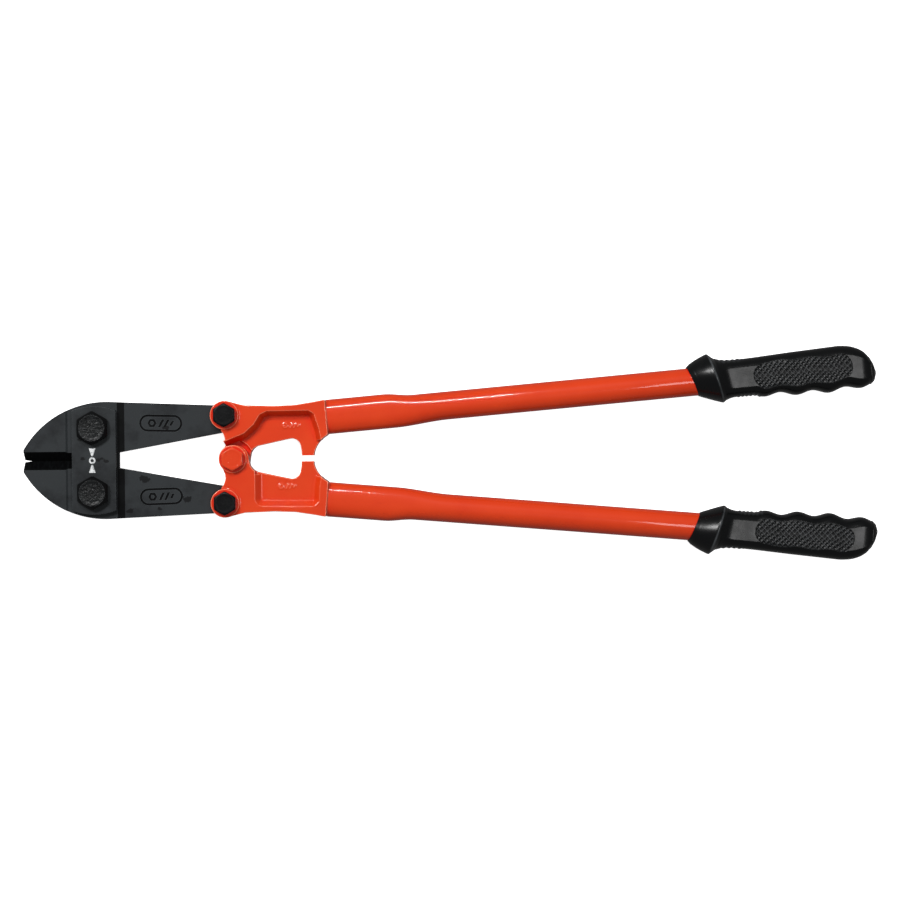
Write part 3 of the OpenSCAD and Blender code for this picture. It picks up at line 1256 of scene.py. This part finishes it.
@dataclass(frozen=True)
class Fasteners:
    """The five pivots of the tool."""

    jaw: Pivot = Pivot(
        shank_r=7.0,
        flats=21.2,
        head_h=6.0,
        slot=Slot.OXIDE,
        finish=BOLT_OXIDE,
        bolt_finishes=(BOLT_OXIDE, BOLT_DARK_AND_SIDE_SHADE),
        face_share=0.88,
        chamfer=42.0,
        pitch=2.0,
        crater=0.35,
        roughening=0.2,
    )
    tail: Pivot = Pivot(5.0, 15.0, 5.0, Slot.OXIDE, BOLT_OXIDE, (BOLT_DARK_AND_SIDE_SHADE,))
    centre: Pivot = Pivot(5.0, 14.8, 4.6, Slot.ENAMEL, BOLT_ENAMEL, (BOLT_ENAMEL,))

    def build(self) -> None:
        """Builds all the fasteners and puts them on their bodies."""
        for side in Side:
            self.jaw.build(f"jaw_{{}}_{side.value}", Body.STRAP, (Part.BOLT, Part.NUT))
            self.tail.build(f"tail_{{}}_{side.value}", side.handle)
        self.centre.build("centre_{}", Body.LOWER_HANDLE)


def relief_marks(height: float, sink: float) -> Shape:
    """A short row of plain raised marks: a ring of six sides and three slanted bars.

    Args:
        height: How far the marks stand above Z = 0.
        sink: How far they go below it.

    Returns:
        The marks, about 15 mm long and 5 mm high, centred on the origin.
    """
    ring_x, ring_r, hole_share, bar_half = -5.2, 2.7, 0.45, 0.75
    marks = bmesh.new()
    turns = [FULL_TURN * k / 6 for k in range(6)]
    plan = [(ring_r * math.cos(turn), ring_r * math.sin(turn)) for turn in turns]
    nut = [(x + ring_x, y) for x, y in plan]
    hole = [(hole_share * x + ring_x, hole_share * y) for x, y in plan]
    merge_in(marks, cut(prism(nut, -sink, height), prism(hole, -sink - 1, height + 1)))
    for place, half_high in ((0.2, 2.3), (3.3, 2.3), (6.4, 1.4)):
        lean = 0.5 * half_high
        foot = [(place + way * bar_half - lean, -half_high) for way in (-1, 1)]
        head = [(place + way * bar_half + lean, half_high) for way in (1, -1)]
        merge_in(marks, prism(foot + head, -sink, height))
    break_edges(marks, 0.15)
    return marks


@dataclass(frozen=True)
class Jaw:
    """One forged jaw with its ground cutting bevels and the sunk oval on its tail."""

    side: Side
    edge_break: float = 0.45
    oval_x: float = -51.0
    oval_y: float = 25.9
    oval_half_long: float = 15.2
    oval_half_wide: float = 6.0
    oval_line: float = 1.45
    oval_depth: float = 0.9
    oval_tilt: float = -1.6
    tail_t: float = 11.0
    land_half: float = 1.0
    bevel_reach: float = 8.4
    bevel_half: float = 7.5
    bevel_end: float = 5.0
    slope_tilt: tuple[float, float] = (0.15, 0.8)
    mark_depth: float = 0.6
    mark_scale: float = 1.2
    notch_half: float = 0.4
    plate_shadow_len: float = 8.0

    FINISHES = (LACQUER, GROUND, PAINTED_SHADE_LACQUER)

    def build(self) -> bpy.types.Object:
        """Builds the jaw and puts it on its body.

        Returns:
            The piece.
        """
        node = f"jaw_{self.side.value}"
        shape = cad_shape(node)
        self.close_cutting_edge(shape)
        for face in (1, -1):
            shape = cut(shape, self.oval(face))
            marks = relief_marks(1.0, self.mark_depth)
            bmesh.ops.scale(marks, vec=(self.mark_scale, self.mark_scale, 1), verts=marks.verts)
            bmesh.ops.transform(marks, matrix=self.face_place(face), verts=marks.verts)
            shape = cut(shape, marks)
        break_edges(shape, self.edge_break, keep=self.stays_sharp)
        self.mark_ground_faces(shape)
        self.paint_shade_on_sunk_faces(shape)
        return add_piece(
            shape,
            f"{node}_forged",
            self.side.jaw,
            Slot.JAW,
            self.FINISHES,
            [node],
            weighted=True,
        )

    def close_cutting_edge(self, shape: Shape) -> None:
        """Draws the cutting edge out until the two jaws meet.

        Args:
            shape: The jaw.
        """
        for vert in shape.verts:
            on_land = abs(vert.co.z - MID_Z) < self.land_half and vert.co.x < JAW_PIN_X
            if on_land and abs(vert.co.y) < 0.15:
                vert.co.y = 0.0
            elif on_land and abs(vert.co.y) < 0.9:
                vert.co.y = self.side.sign * self.notch_half

    def on_tail_oval(self, point: Vector) -> bool:
        """Whether a point lies within the oval, seen from the front."""
        away = point - Vector((self.oval_x, self.side.sign * self.oval_y, point.z))
        return abs(away.x) < self.oval_half_long + 0.2 and abs(away.y) < self.oval_half_wide + 0.5

    def paint_shade_on_sunk_faces(self, shape: Shape) -> None:
        """Gives the sunk oval and its marks a painted shade, and the slope past the plates' end a
        painted shadow of the plates, both in a nearly black lacquer.

        Args:
            shape: The jaw.
        """
        surface = self.tail_t / 2 - 0.05
        plate_end = box_mm("strap_plate_front")[1].x
        low, high = self.slope_tilt
        for face in shape.faces:
            centre = face.calc_center_median()
            height = abs(centre.z - MID_Z)
            # Painted shade in the sunk oval and its marks, and a painted shadow of the plates on
            # the slope past their end
            sunk = surface - 1.2 < height < surface and self.on_tail_oval(centre)
            behind = 0 < centre.x - plate_end < self.plate_shadow_len
            if sunk or (behind and low < face.normal.x < high):
                face.material_index = self.FINISHES.index(PAINTED_SHADE_LACQUER)

    def face_place(self, face: int) -> Matrix:
        """Puts something drawn on Z = 0 onto the tail's front or rear face.

        Args:
            face: Plus one for the front and minus one for the rear.

        Returns:
            The placement, with the same way up on each face.
        """
        level = MID_Z + face * self.tail_t / 2
        spot = Matrix.Translation((self.oval_x, self.side.sign * self.oval_y, level))
        tilt = Matrix.Rotation(math.radians(self.side.sign * self.oval_tilt), 4, "Z")
        over = Matrix.Rotation(0.0 if face > 0 else math.pi, 4, "Y")
        return spot @ tilt @ over

    def oval(self, face: int) -> Shape:
        """The cutter for the sunk oval line on one face of the tail.

        Args:
            face: Plus one for the front and minus one for the rear.

        Returns:
            A closed ring that stands through the face.
        """
        outer = stadium(self.oval_half_long, self.oval_half_wide, 64)
        line = self.oval_line
        inner = stadium(self.oval_half_long - line, self.oval_half_wide - line, 64)
        groove = cut(prism(outer, -self.oval_depth, 1.0), prism(inner, -9.0, 9.0))
        bmesh.ops.transform(groove, matrix=self.face_place(face), verts=groove.verts)
        return groove

    def stays_sharp(self, edge: bmesh.types.BMEdge) -> bool:
        """Whether an edge belongs to the cutting line or to the sunk oval.

        Args:
            edge: The edge.

        Returns:
            Whether it is left sharp.
        """
        cutting = all(
            abs(vert.co.y) < 1.2 and abs(vert.co.z - MID_Z) < self.bevel_reach
            for vert in edge.verts
        )
        return cutting or all(self.on_tail_oval(vert.co) for vert in edge.verts)

    def mark_ground_faces(self, shape: Shape) -> None:
        """Gives the ground bevels beside the cutting line their own finish.

        Args:
            shape: The jaw.
        """
        for face in shape.faces:
            centre = face.calc_center_median()
            near = centre.x < JAW_PIN_X - self.bevel_end and abs(centre.y) < self.bevel_half
            if near and -self.side.sign * face.normal.y > 0.35:
                face.material_index = self.FINISHES.index(GROUND)


@dataclass(frozen=True)
class StrapPlates:
    """The two pressed strap plates that join the jaws, with a printed mark in front."""

    edge_break: float = 0.35
    mark_shift: float = -1.2
    ink_lift: float = 0.005
    ink_t: float = 0.03
    ring_r: float = 2.3

    def build(self) -> None:
        """Builds both plates and the printed mark."""
        for node in ("strap_plate_front", "strap_plate_rear"):
            shape = cad_shape(node)
            break_edges(shape, self.edge_break)
            name = f"{node}_pressed"
            add_piece(shape, name, Body.STRAP, Slot.PLATE, [PLATE_LACQUER], [node], weighted=True)
        self.add_print()

    def add_print(self) -> None:
        """Prints a plain mark on the front plate: two wedges closing on a round bar."""
        low, high = box_mm("strap_plate_front")
        mark = bmesh.new()
        bar = stadium(self.ring_r, self.ring_r - 0.001, 24)
        hole = [(0.5 * x, 0.5 * y) for x, y in bar]
        merge_in(mark, cut(prism(bar, 0.0, self.ink_t), prism(hole, -1.0, 1.0)))
        for way in (1, -1):
            wedge = [(-2.3, way * 8.6), (2.3, way * 8.6), (0.5, way * 3.1), (-0.5, way * 3.1)]
            merge_in(mark, prism(wedge, 0.0, self.ink_t))
        middle = (low.x + high.x) / 2 + self.mark_shift
        place = Matrix.Translation((middle, 0, high.z + self.ink_lift))
        bmesh.ops.transform(mark, matrix=place, verts=mark.verts)
        add_piece(mark, "strap_plate_print", Body.STRAP, Slot.PLATE, [INK])


@dataclass(frozen=True)
class HandleLine:
    """The straight line of a handle, from the seam between its head and its tube."""

    side: Side
    seam_x: float = 66.4
    seam_y: float = 29.2
    angle: float = 4.87

    def place(self) -> Matrix:
        """Turns (along the tube, outwards, up) to the frame, in millimetres."""
        seam = Matrix.Translation((self.seam_x, self.seam_y, 0))
        return turned(self.side) @ seam @ Matrix.Rotation(math.radians(self.angle), 4, "Z")


@dataclass(frozen=True)
class HandleHead:
    """One forged handle head: ear, eye, web and stop lug, soft under its enamel.

    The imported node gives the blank. Draft wedges make the pocket walls slope as a
    forging's do, and the whole blank is then skinned evenly and smoothed.
    """

    line: HandleLine
    grain: float = 0.5
    quick_grain: float = 1.0
    passes: int = 2
    waist_y: float = 37.3
    rim_w: float = 3.8
    rim_z: float = 10.5
    web_front: float = 2.5
    web_back: float = 6.5
    draft: float = 3.6
    panel_draft: float = 4.2
    tang: float = 3.0
    mark_height: float = 0.55
    mark_root: float = 0.4
    mark_scale: float = 0.8

    def build(self) -> bpy.types.Object:
        """Builds the head and puts it on its body.

        Returns:
            The piece.
        """
        side = self.line.side
        node = f"handle_head_{side.value}"
        shape = cad_shape(node)
        self.trim_tang(shape)
        for added in (*self.wedges(), *self.marks()):
            merge_in(shape, added, turned(side))
        grain = self.grain
        remesh = {"mode": "VOXEL", "voxel_size": grain, "use_smooth_shade": True}
        skinned = with_modifier(shape, "REMESH", remesh)
        smooth = with_modifier(skinned, "SMOOTH", {"factor": 0.5, "iterations": self.passes})
        bmesh.ops.recalc_face_normals(smooth, faces=smooth.faces)
        name = f"{node}_forged"
        return add_piece(
            smooth, name, side.handle, Slot.ENAMEL, [HEAD_ENAMEL], [node], crease=180.0
        )

    def trim_tang(self, shape: Shape) -> None:
        """Cuts the tang short, since the tube hides the rest of it.

        Args:
            shape: The head's blank.
        """
        place = self.line.place()
        made = bmesh.ops.bisect_plane(
            shape,
            geom=[*shape.verts, *shape.edges, *shape.faces],
            dist=1e-4,
            plane_co=place @ Vector((self.tang, 0, 0)),
            plane_no=place.to_3x3() @ Vector((1, 0, 0)),
            clear_outer=True,
        )
        rim = [item for item in made["geom_cut"] if isinstance(item, bmesh.types.BMEdge)]
        bmesh.ops.holes_fill(shape, edges=rim)
        bmesh.ops.triangulate(shape, faces=shape.faces)

    def wedges(self) -> list[Shape]:
        """The sloped feet of the pocket walls, on both faces of the web.

        Returns:
            One closed wedge for each face.
        """
        ledge, seam = self.waist_y - self.rim_w, self.line.seam_x
        lap_wall = [
            (-6.5, 12.4),
            (-4.6, 13.1),
            (8.0, 18.1),
            (15.0, 24.5),
            (19.2, ledge - 2.2),
            (24.2, ledge + 0.2),
            (seam - 12.6, ledge + 0.4),
            (seam - 8.8, ledge - 2),
            (seam - 5.2, 20.4),
            (seam - 3.8, 13.0),
        ]
        panel_wall = [
            (15.6, 10.6),
            (15.6, ledge - 4),
            (17.6, ledge - 1),
            (20.6, ledge),
            (seam - 9, ledge + 0.4),
            (seam - 5.4, ledge - 3.4),
            (seam - 5, 20),
            (seam - 3.8, 13),
        ]
        return [
            self.wedge(lap_wall, self.web_front, self.rim_z, self.draft),
            self.wedge(panel_wall, -self.web_back, -self.rim_z, self.panel_draft),
        ]

    def wedge(
        self, wall: Sequence[tuple[float, float]], floor: float, rim: float, draft: float
    ) -> Shape:
        """Sweeps a three-cornered section along the foot of a pocket wall.

        Args:
            wall: The wall's line in plan, with the pocket on its right.
            floor: The height of the pocket's floor.
            rim: The height of the rim.
            draft: How far the slope reaches into the pocket.

        Returns:
            The closed wedge.
        """
        lift = math.copysign(0.1, rim - floor)
        top, foot, root = rim - lift, floor - lift, floor - 8 * lift
        corners = ((-0.6, top), (0.1, top), (draft, foot), (-0.6, root))
        points = [Vector((x, y, 0)) for x, y in wall]
        sections = []
        for index, point in enumerate(points):
            run = points[min(len(points) - 1, index + 1)] - points[max(0, index - 1)]
            inward = Vector((run.y, -run.x, 0)).normalized()
            sections.append([point + inward * reach + Vector((0, 0, z)) for reach, z in corners])
        rows = len(sections) - 1
        shape = wrap_grid(rows, len(corners), lambda row, column: sections[row][column])
        bmesh.ops.holes_fill(shape, edges=shape.edges, sides=len(corners))
        bmesh.ops.recalc_face_normals(shape, faces=shape.faces)
        return shape

    def marks(self) -> list[Shape]:
        """Plain raised marks on both faces of the web.

        Returns:
            The closed marks, in the upper half's place.
        """
        over = Matrix.Rotation(math.pi, 4, "X")
        front = Matrix.Translation((41.0, 23.5, self.web_front))
        back = Matrix.Translation((38.0, 19.5, -self.web_back)) @ over
        made = []
        for place in (front, back):
            mark = relief_marks(self.mark_height, self.mark_root)
            size = Matrix.Scale(self.mark_scale, 4)
            bmesh.ops.transform(mark, matrix=place @ size, verts=mark.verts)
            made.append(mark)
        return made


@dataclass(frozen=True)
class HandleTube:
    """Drawn steel tube with its end flattened over the head's tang."""

    line: HandleLine
    length: float = 376.0
    radius: float = 10.0
    wall: float = 2.0
    flat_half_w: float = 12.3
    flat_half_h: float = 9.3
    lip: float = 0.45
    outer_step: tuple[float, float] = (41.0, 62.0)
    inner_step: tuple[float, float] = (48.0, 86.0)
    up_step: tuple[float, float] = (43.0, 86.0)
    squareness: float = 0.5
    tucked: float = 6.0
    columns: int = 96

    def half_sizes(self, u: float) -> tuple[float, float, float]:
        """The section's reach outwards, inwards and up at a station.

        Args:
            u: Distance from the seam.

        Returns:
            The three half sizes.
        """
        extra_w = self.flat_half_w - self.radius
        extra_h = self.flat_half_h - self.radius
        outer = self.radius + extra_w * (1 - smooth_step(*self.outer_step, u))
        inner = self.radius + extra_w * (1 - smooth_step(*self.inner_step, u))
        up = self.radius + extra_h * (1 - smooth_step(*self.up_step, u))
        return outer, inner, up

    def build(self) -> bpy.types.Object:
        """Builds the tube and puts it on its body.

        Returns:
            The piece.
        """
        stations = [0.12, 0.25, self.lip, 1.2]
        stations += [3.0 + 2.0 * step for step in range(46)]
        stations += [100.0 + 12.0 * step for step in range(int((self.length - 100) / 12) + 1)]
        stations += [self.length]
        bore = [(self.length, -self.wall), (self.length - self.tucked, -self.wall)]
        mouth = [(self.tucked, -self.wall), (stations[0], -self.wall)]
        rows = [*mouth, *((u, -self.lip_at(u)) for u in stations), *bore, mouth[0]]

        def place(row: int, column: int) -> Vector:
            """One point of the tube.

            Args:
                row: Its row along the tube, outside and then in the bore.
                column: Its column round the tube.

            Returns:
                The point.
            """
            u, offset = rows[row]
            turn = FULL_TURN * (column + 0.5) / self.columns
            outer, inner, up = self.half_sizes(u)
            reach = outer if math.cos(turn) > 0 else inner
            fullness = 2 / (2 + self.squareness * (1 - smooth_step(*self.up_step, u)))
            v = (reach + offset) * signed_power(math.cos(turn), fullness)
            w = (up + offset) * signed_power(math.sin(turn), fullness)
            return Vector((u, v, w))

        shape = wrap_grid(len(rows) - 1, self.columns, place)
        bmesh.ops.transform(shape, matrix=self.line.place(), verts=shape.verts)
        side = self.line.side
        node = f"handle_tube_{side.value}"
        name = f"{node}_drawn"
        return add_piece(shape, name, side.handle, Slot.ENAMEL, [TUBE_ENAMEL], [node], crease=40.0)

    def lip_at(self, u: float) -> float:
        """How far the rounded lip at the seam draws the surface in."""
        if u >= self.lip:
            return CLEAR
        return CLEAR + self.lip - math.sqrt(max(0.0, self.lip**2 - (self.lip - u) ** 2))


@dataclass(frozen=True)
class Grip:
    """Moulded grip: flared guard, flat thumb facets, chequered pads and finger waves.

    Stations run along the tube from the seam, and each section reaches outwards,
    inwards and up from the tube's axis by its own profile.
    """

    line: HandleLine
    front: float = 260.5
    ridge: float = 277.0
    end: float = 390.5
    bore_r: float = 10.02
    wave_pitch: float = 22.9
    wave_start: float = 310.5
    wave_height: float = 1.3
    flat_share: float = 0.93
    pad: tuple[float, float] = (303.0, 373.0)
    pad_half_w: float = 9.4
    hatch: float = 2.75
    hatch_depth: float = 0.95
    boxiness: float = 0.8
    rib_pitch: float = 3.2
    rib_height: float = 0.55
    outer_ribs: tuple[float, float] = (281.0, 298.0)
    inner_ribs: tuple[float, float] = (288.0, 309.0)
    columns: int = 200
    row_step: float = 0.45
    quick_step: float = 1.2

    # Stations between which the finger waves and the boxy section fade in, then out
    WAVES = (300.0, 308.0, 380.0, 388.0)
    BODY = (278.0, 290.0, 382.0, 390.0)
    POINT_VALUES = ("ridge", "pad_share", "hatch_a", "hatch_b")
    LEAN = ((260.5, 0.34), (277.0, 0.254), (290.0, 0.1), (302.0, 0.0))
    OUTER = (
        (260.5, 10.6), (263.5, 12.9), (270.0, 16.2), (275.5, 18.4), (277.0, 18.9),
        (279.5, 15.6), (283.0, 13.5), (290.0, 12.8), (305.0, 13.3), (330.0, 14.5),
        (358.0, 15.5), (366.0, 15.8), (374.0, 14.8), (381.0, 11.8), (386.0, 7.0), (389.0, 1.5),
        (390.5, -4.0),
    )
    INNER = (
        (260.5, 10.4), (263.5, 11.8), (270.0, 14.4), (275.5, 16.4), (277.0, 16.7),
        (280.5, 15.0), (285.0, 13.8), (292.0, 13.3), (300.0, 13.4), (310.0, 13.9),
        (333.0, 14.9), (356.0, 15.6), (368.0, 15.0), (379.0, 14.3), (386.0, 14.0),
        (389.0, 11.5), (390.5, 7.5),
    )
    UP = (
        (260.5, 10.6), (263.5, 12.2), (270.0, 15.3), (275.5, 17.4), (277.0, 17.7),
        (280.0, 15.2), (284.0, 13.4), (288.0, 13.0), (382.0, 13.0), (386.0, 11.4),
        (388.6, 8.4), (390.5, 3.0),
    )

    def build(self) -> bpy.types.Object:
        """Builds the grip and puts it on its body.

        Returns:
            The piece.
        """
        step = self.row_step
        count = int((self.end - self.front) / step)
        stations = [self.front + (self.end - self.front) * k / count for k in range(count + 1)]
        values: dict[tuple[int, int], tuple[float, ...]] = {}

        def place(row: int, column: int) -> Vector:
            """One point of the grip.

            Args:
                row: Its row, from the bore's edge to the tip.
                column: Its column round the grip.

            Returns:
                The point.
            """
            turn = FULL_TURN * column / self.columns
            if row < 2:
                shift = 4.0 if row == 0 else 0.0
                v, w = self.bore_r * math.cos(turn), self.bore_r * math.sin(turn)
                return Vector((self.front + shift + self.lean(self.front) * -v, v, w))
            if row == len(stations) + 2:
                return Vector((self.end, (self.OUTER[-1][1] - self.INNER[-1][1]) / 2, 0))
            point, values[(row, column)] = self.surface(stations[row - 2], turn)
            return point

        rows = len(stations) + 2
        shape = bmesh.new()
        layers = [shape.verts.layers.float.new(name) for name in self.POINT_VALUES]
        made = bmesh.ops.create_grid(shape, x_segments=self.columns, y_segments=rows, size=1.0)
        for vert in made["verts"]:
            column = round((vert.co.x + 1) / 2 * self.columns) % self.columns
            row = round((vert.co.y + 1) / 2 * rows)
            vert.co = place(row, column)
            for layer, value in zip(layers, values.get((row, column), (0.0,) * len(layers))):
                vert[layer] = value
        bmesh.ops.remove_doubles(shape, verts=shape.verts, dist=1e-4)
        bmesh.ops.recalc_face_normals(shape, faces=shape.faces)
        bmesh.ops.transform(shape, matrix=self.line.place(), verts=shape.verts)
        side = self.line.side
        node = f"grip_{side.value}"
        name = f"{node}_moulded"
        return add_piece(shape, name, side.handle, Slot.RUBBER, [VINYL], [node], crease=48.0)

    def lean(self, station: float) -> float:
        """How far the section at a station leans, as a slope."""
        return along(self.LEAN, station)

    def surface(self, station: float, turn: float) -> tuple[Vector, tuple[float, ...]]:
        """One point of the grip's skin.

        Args:
            station: Where the section is.
            turn: The direction round the section, from outwards.

        Returns:
            The point and its values, in the order of POINT_VALUES.
        """
        crisp = abs(station - self.ridge) < 3.5 or station < 264 or station > 386
        read = along if crisp else curve_along
        outer, inner = read(self.OUTER, station), read(self.INNER, station)
        up = read(self.UP, station)
        waves = swell(self.WAVES, station)
        phase = FULL_TURN * (station - self.wave_start) / self.wave_pitch
        inner += self.wave_height * math.cos(phase) * waves
        half = (outer + inner) / 2
        middle = (outer - inner) / 2
        power = 2 / (2 + self.boxiness * swell(self.BODY, station))
        cos_turn, sin_turn = math.cos(turn), math.sin(turn)
        v, w = half * signed_power(cos_turn, power), up * signed_power(sin_turn, power)
        flat = up * (1 - (1 - self.flat_share) * smooth_step(279.0, 284.0, station))
        if abs(w) > flat:
            w = math.copysign(flat, w)
        on_pad = self.pad_share(station, v) * smooth_step(0.75, 0.9, abs(w) / max(flat, 1.0))
        lines = [(station + slant * v) / (self.hatch * math.sqrt(2)) for slant in (1, -1)]
        away = min(min(line % 1.0, 1 - line % 1.0) for line in lines)
        w -= math.copysign(on_pad * 2 * self.hatch_depth * away, w)
        rib = self.rib(station, turn)
        v += math.copysign(self.rib_height * rib, cos_turn)
        v_all = v + middle
        # Painted highlight: a thin line along the guard's ridge, passed on in the ridge value
        crest = 0.5 * (1 - smooth_step(0.3, 0.9, abs(station - self.ridge)))
        point = Vector((station - self.lean(station) * v_all, v_all, w))
        return point, (max(0.25 * rib, crest), on_pad, *lines)

    def pad_share(self, station: float, v: float) -> float:
        """How far inside the chequered pad a point is.

        Args:
            station: Where its section is.
            v: How far outwards of the section's middle it is.

        Returns:
            A share from 0 to 1.
        """
        start, end = self.pad
        half_long, middle = (end - start) / 2, (start + end) / 2
        straight = half_long - self.pad_half_w
        off = max(0.0, abs(station - middle) - straight)
        return 1 - smooth_step(self.pad_half_w - 0.7, self.pad_half_w, math.hypot(off, v))

    def rib(self, station: float, turn: float) -> float:
        """How near a point is to the crest of an edge rib.

        Args:
            station: Where its section is.
            turn: Its direction round the section, from outwards.

        Returns:
            A share from 0 to 1.
        """
        facing = abs(math.cos(turn))
        start, end = self.outer_ribs if math.cos(turn) > 0 else self.inner_ribs
        inside = swell((start, start + 2, end - 2, end), station)
        crest = 0.5 + 0.5 * math.cos(FULL_TURN * station / self.rib_pitch)
        return crest * inside * smooth_step(0.72, 0.9, facing)


# --------------------------------------------------------------------- studio


@dataclass(frozen=True)
class Studio:
    """White paper, a soft key from the upper left, a strip lamp, and the camera above."""

    camera_x: float = 153.5
    camera_y: float = 4.85
    camera_height: float = 1760.0
    camera_roll: float = -0.6
    lens: float = 99.16
    sky: float = 0.2

    # Name, place in metres, size in metres and power in watts
    LAMPS = (
        ("key_lamp", (-1.0, 1.1, 1.95), (0.6, 0.6), 43.0),
        ("side_lamp", (0.77, 0.0, 2.2), (0.62, 0.6), 9.0),
        ("strip_lamp", (-0.06, 1.28, 1.55), (0.42, 0.045), 12.0),
    )

    def build(self) -> None:
        """Makes the camera, the floor and the lights."""
        self.add_camera()
        self.add_floor()
        for lamp in self.LAMPS:
            self.add_lamp(*lamp)
        self.add_sky()

    def add_camera(self) -> None:
        """Hangs the camera straight above the tool."""
        data = bpy.data.cameras.new("camera")
        data.lens = self.lens
        data.sensor_width = 36.0
        camera = bpy.data.objects.new("camera", data)
        height = MID_Z + self.camera_height
        camera.location = Vector((self.camera_x, self.camera_y, height)) * METRES_PER_MM
        camera.rotation_euler = (0, 0, math.radians(self.camera_roll))
        bpy.context.scene.collection.objects.link(camera)
        bpy.context.scene.camera = camera

    def add_floor(self) -> None:
        """Lays the paper in the plane that the tool rests on."""
        shape = bmesh.new()
        bmesh.ops.create_grid(shape, x_segments=4, y_segments=4, size=6.0)
        mesh = bpy.data.meshes.new("floor")
        shape.to_mesh(mesh)
        shape.free()
        mesh.materials.append(material_of(PAPER))
        floor = bpy.data.objects.new("floor", mesh)
        floor.visible_diffuse = False
        floor.visible_glossy = False
        bpy.context.scene.collection.objects.link(floor)

    def add_lamp(
        self,
        name: str,
        place: tuple[float, float, float],
        size: tuple[float, float],
        power: float,
    ) -> None:
        """Hangs one softbox and turns it to the middle of the tool.

        Args:
            name: Its name.
            place: Where it hangs, in metres.
            size: Its length along X and its height, in metres.
            power: Its power in watts.
        """
        data = bpy.data.lights.new(name, "AREA")
        data.shape = "RECTANGLE"
        data.size, data.size_y = size
        data.energy = power
        lamp = bpy.data.objects.new(name, data)
        lamp.location = place
        aim = Vector((0.12, 0.0, 0.0)) - Vector(place)
        lamp.rotation_euler = aim.to_track_quat("-Z", "Y").to_euler()
        bpy.context.scene.collection.objects.link(lamp)

    def add_sky(self) -> None:
        """Lights the room evenly and keeps the colours plain."""
        world = bpy.data.worlds.new("studio")
        world.use_nodes = True
        background = world.node_tree.nodes["Background"]
        background.inputs["Color"].default_value = linear("#ffffff")
        background.inputs["Strength"].default_value = self.sky
        bpy.context.scene.world = world
        bpy.context.scene.view_settings.view_transform = "Standard"


def main() -> None:
    """Builds the studio and every sub-assembly of the tool, in order."""
    logging.basicConfig(level=logging.INFO, format="%(name)s %(message)s")
    Studio().build()
    StrapPlates().build()
    Fasteners().build()
    for side in Side:
        line = HandleLine(side)
        Jaw(side).build()
        HandleHead(line).build()
        HandleTube(line).build()
        Grip(line).build()


if __name__ == "__main__":
    main()
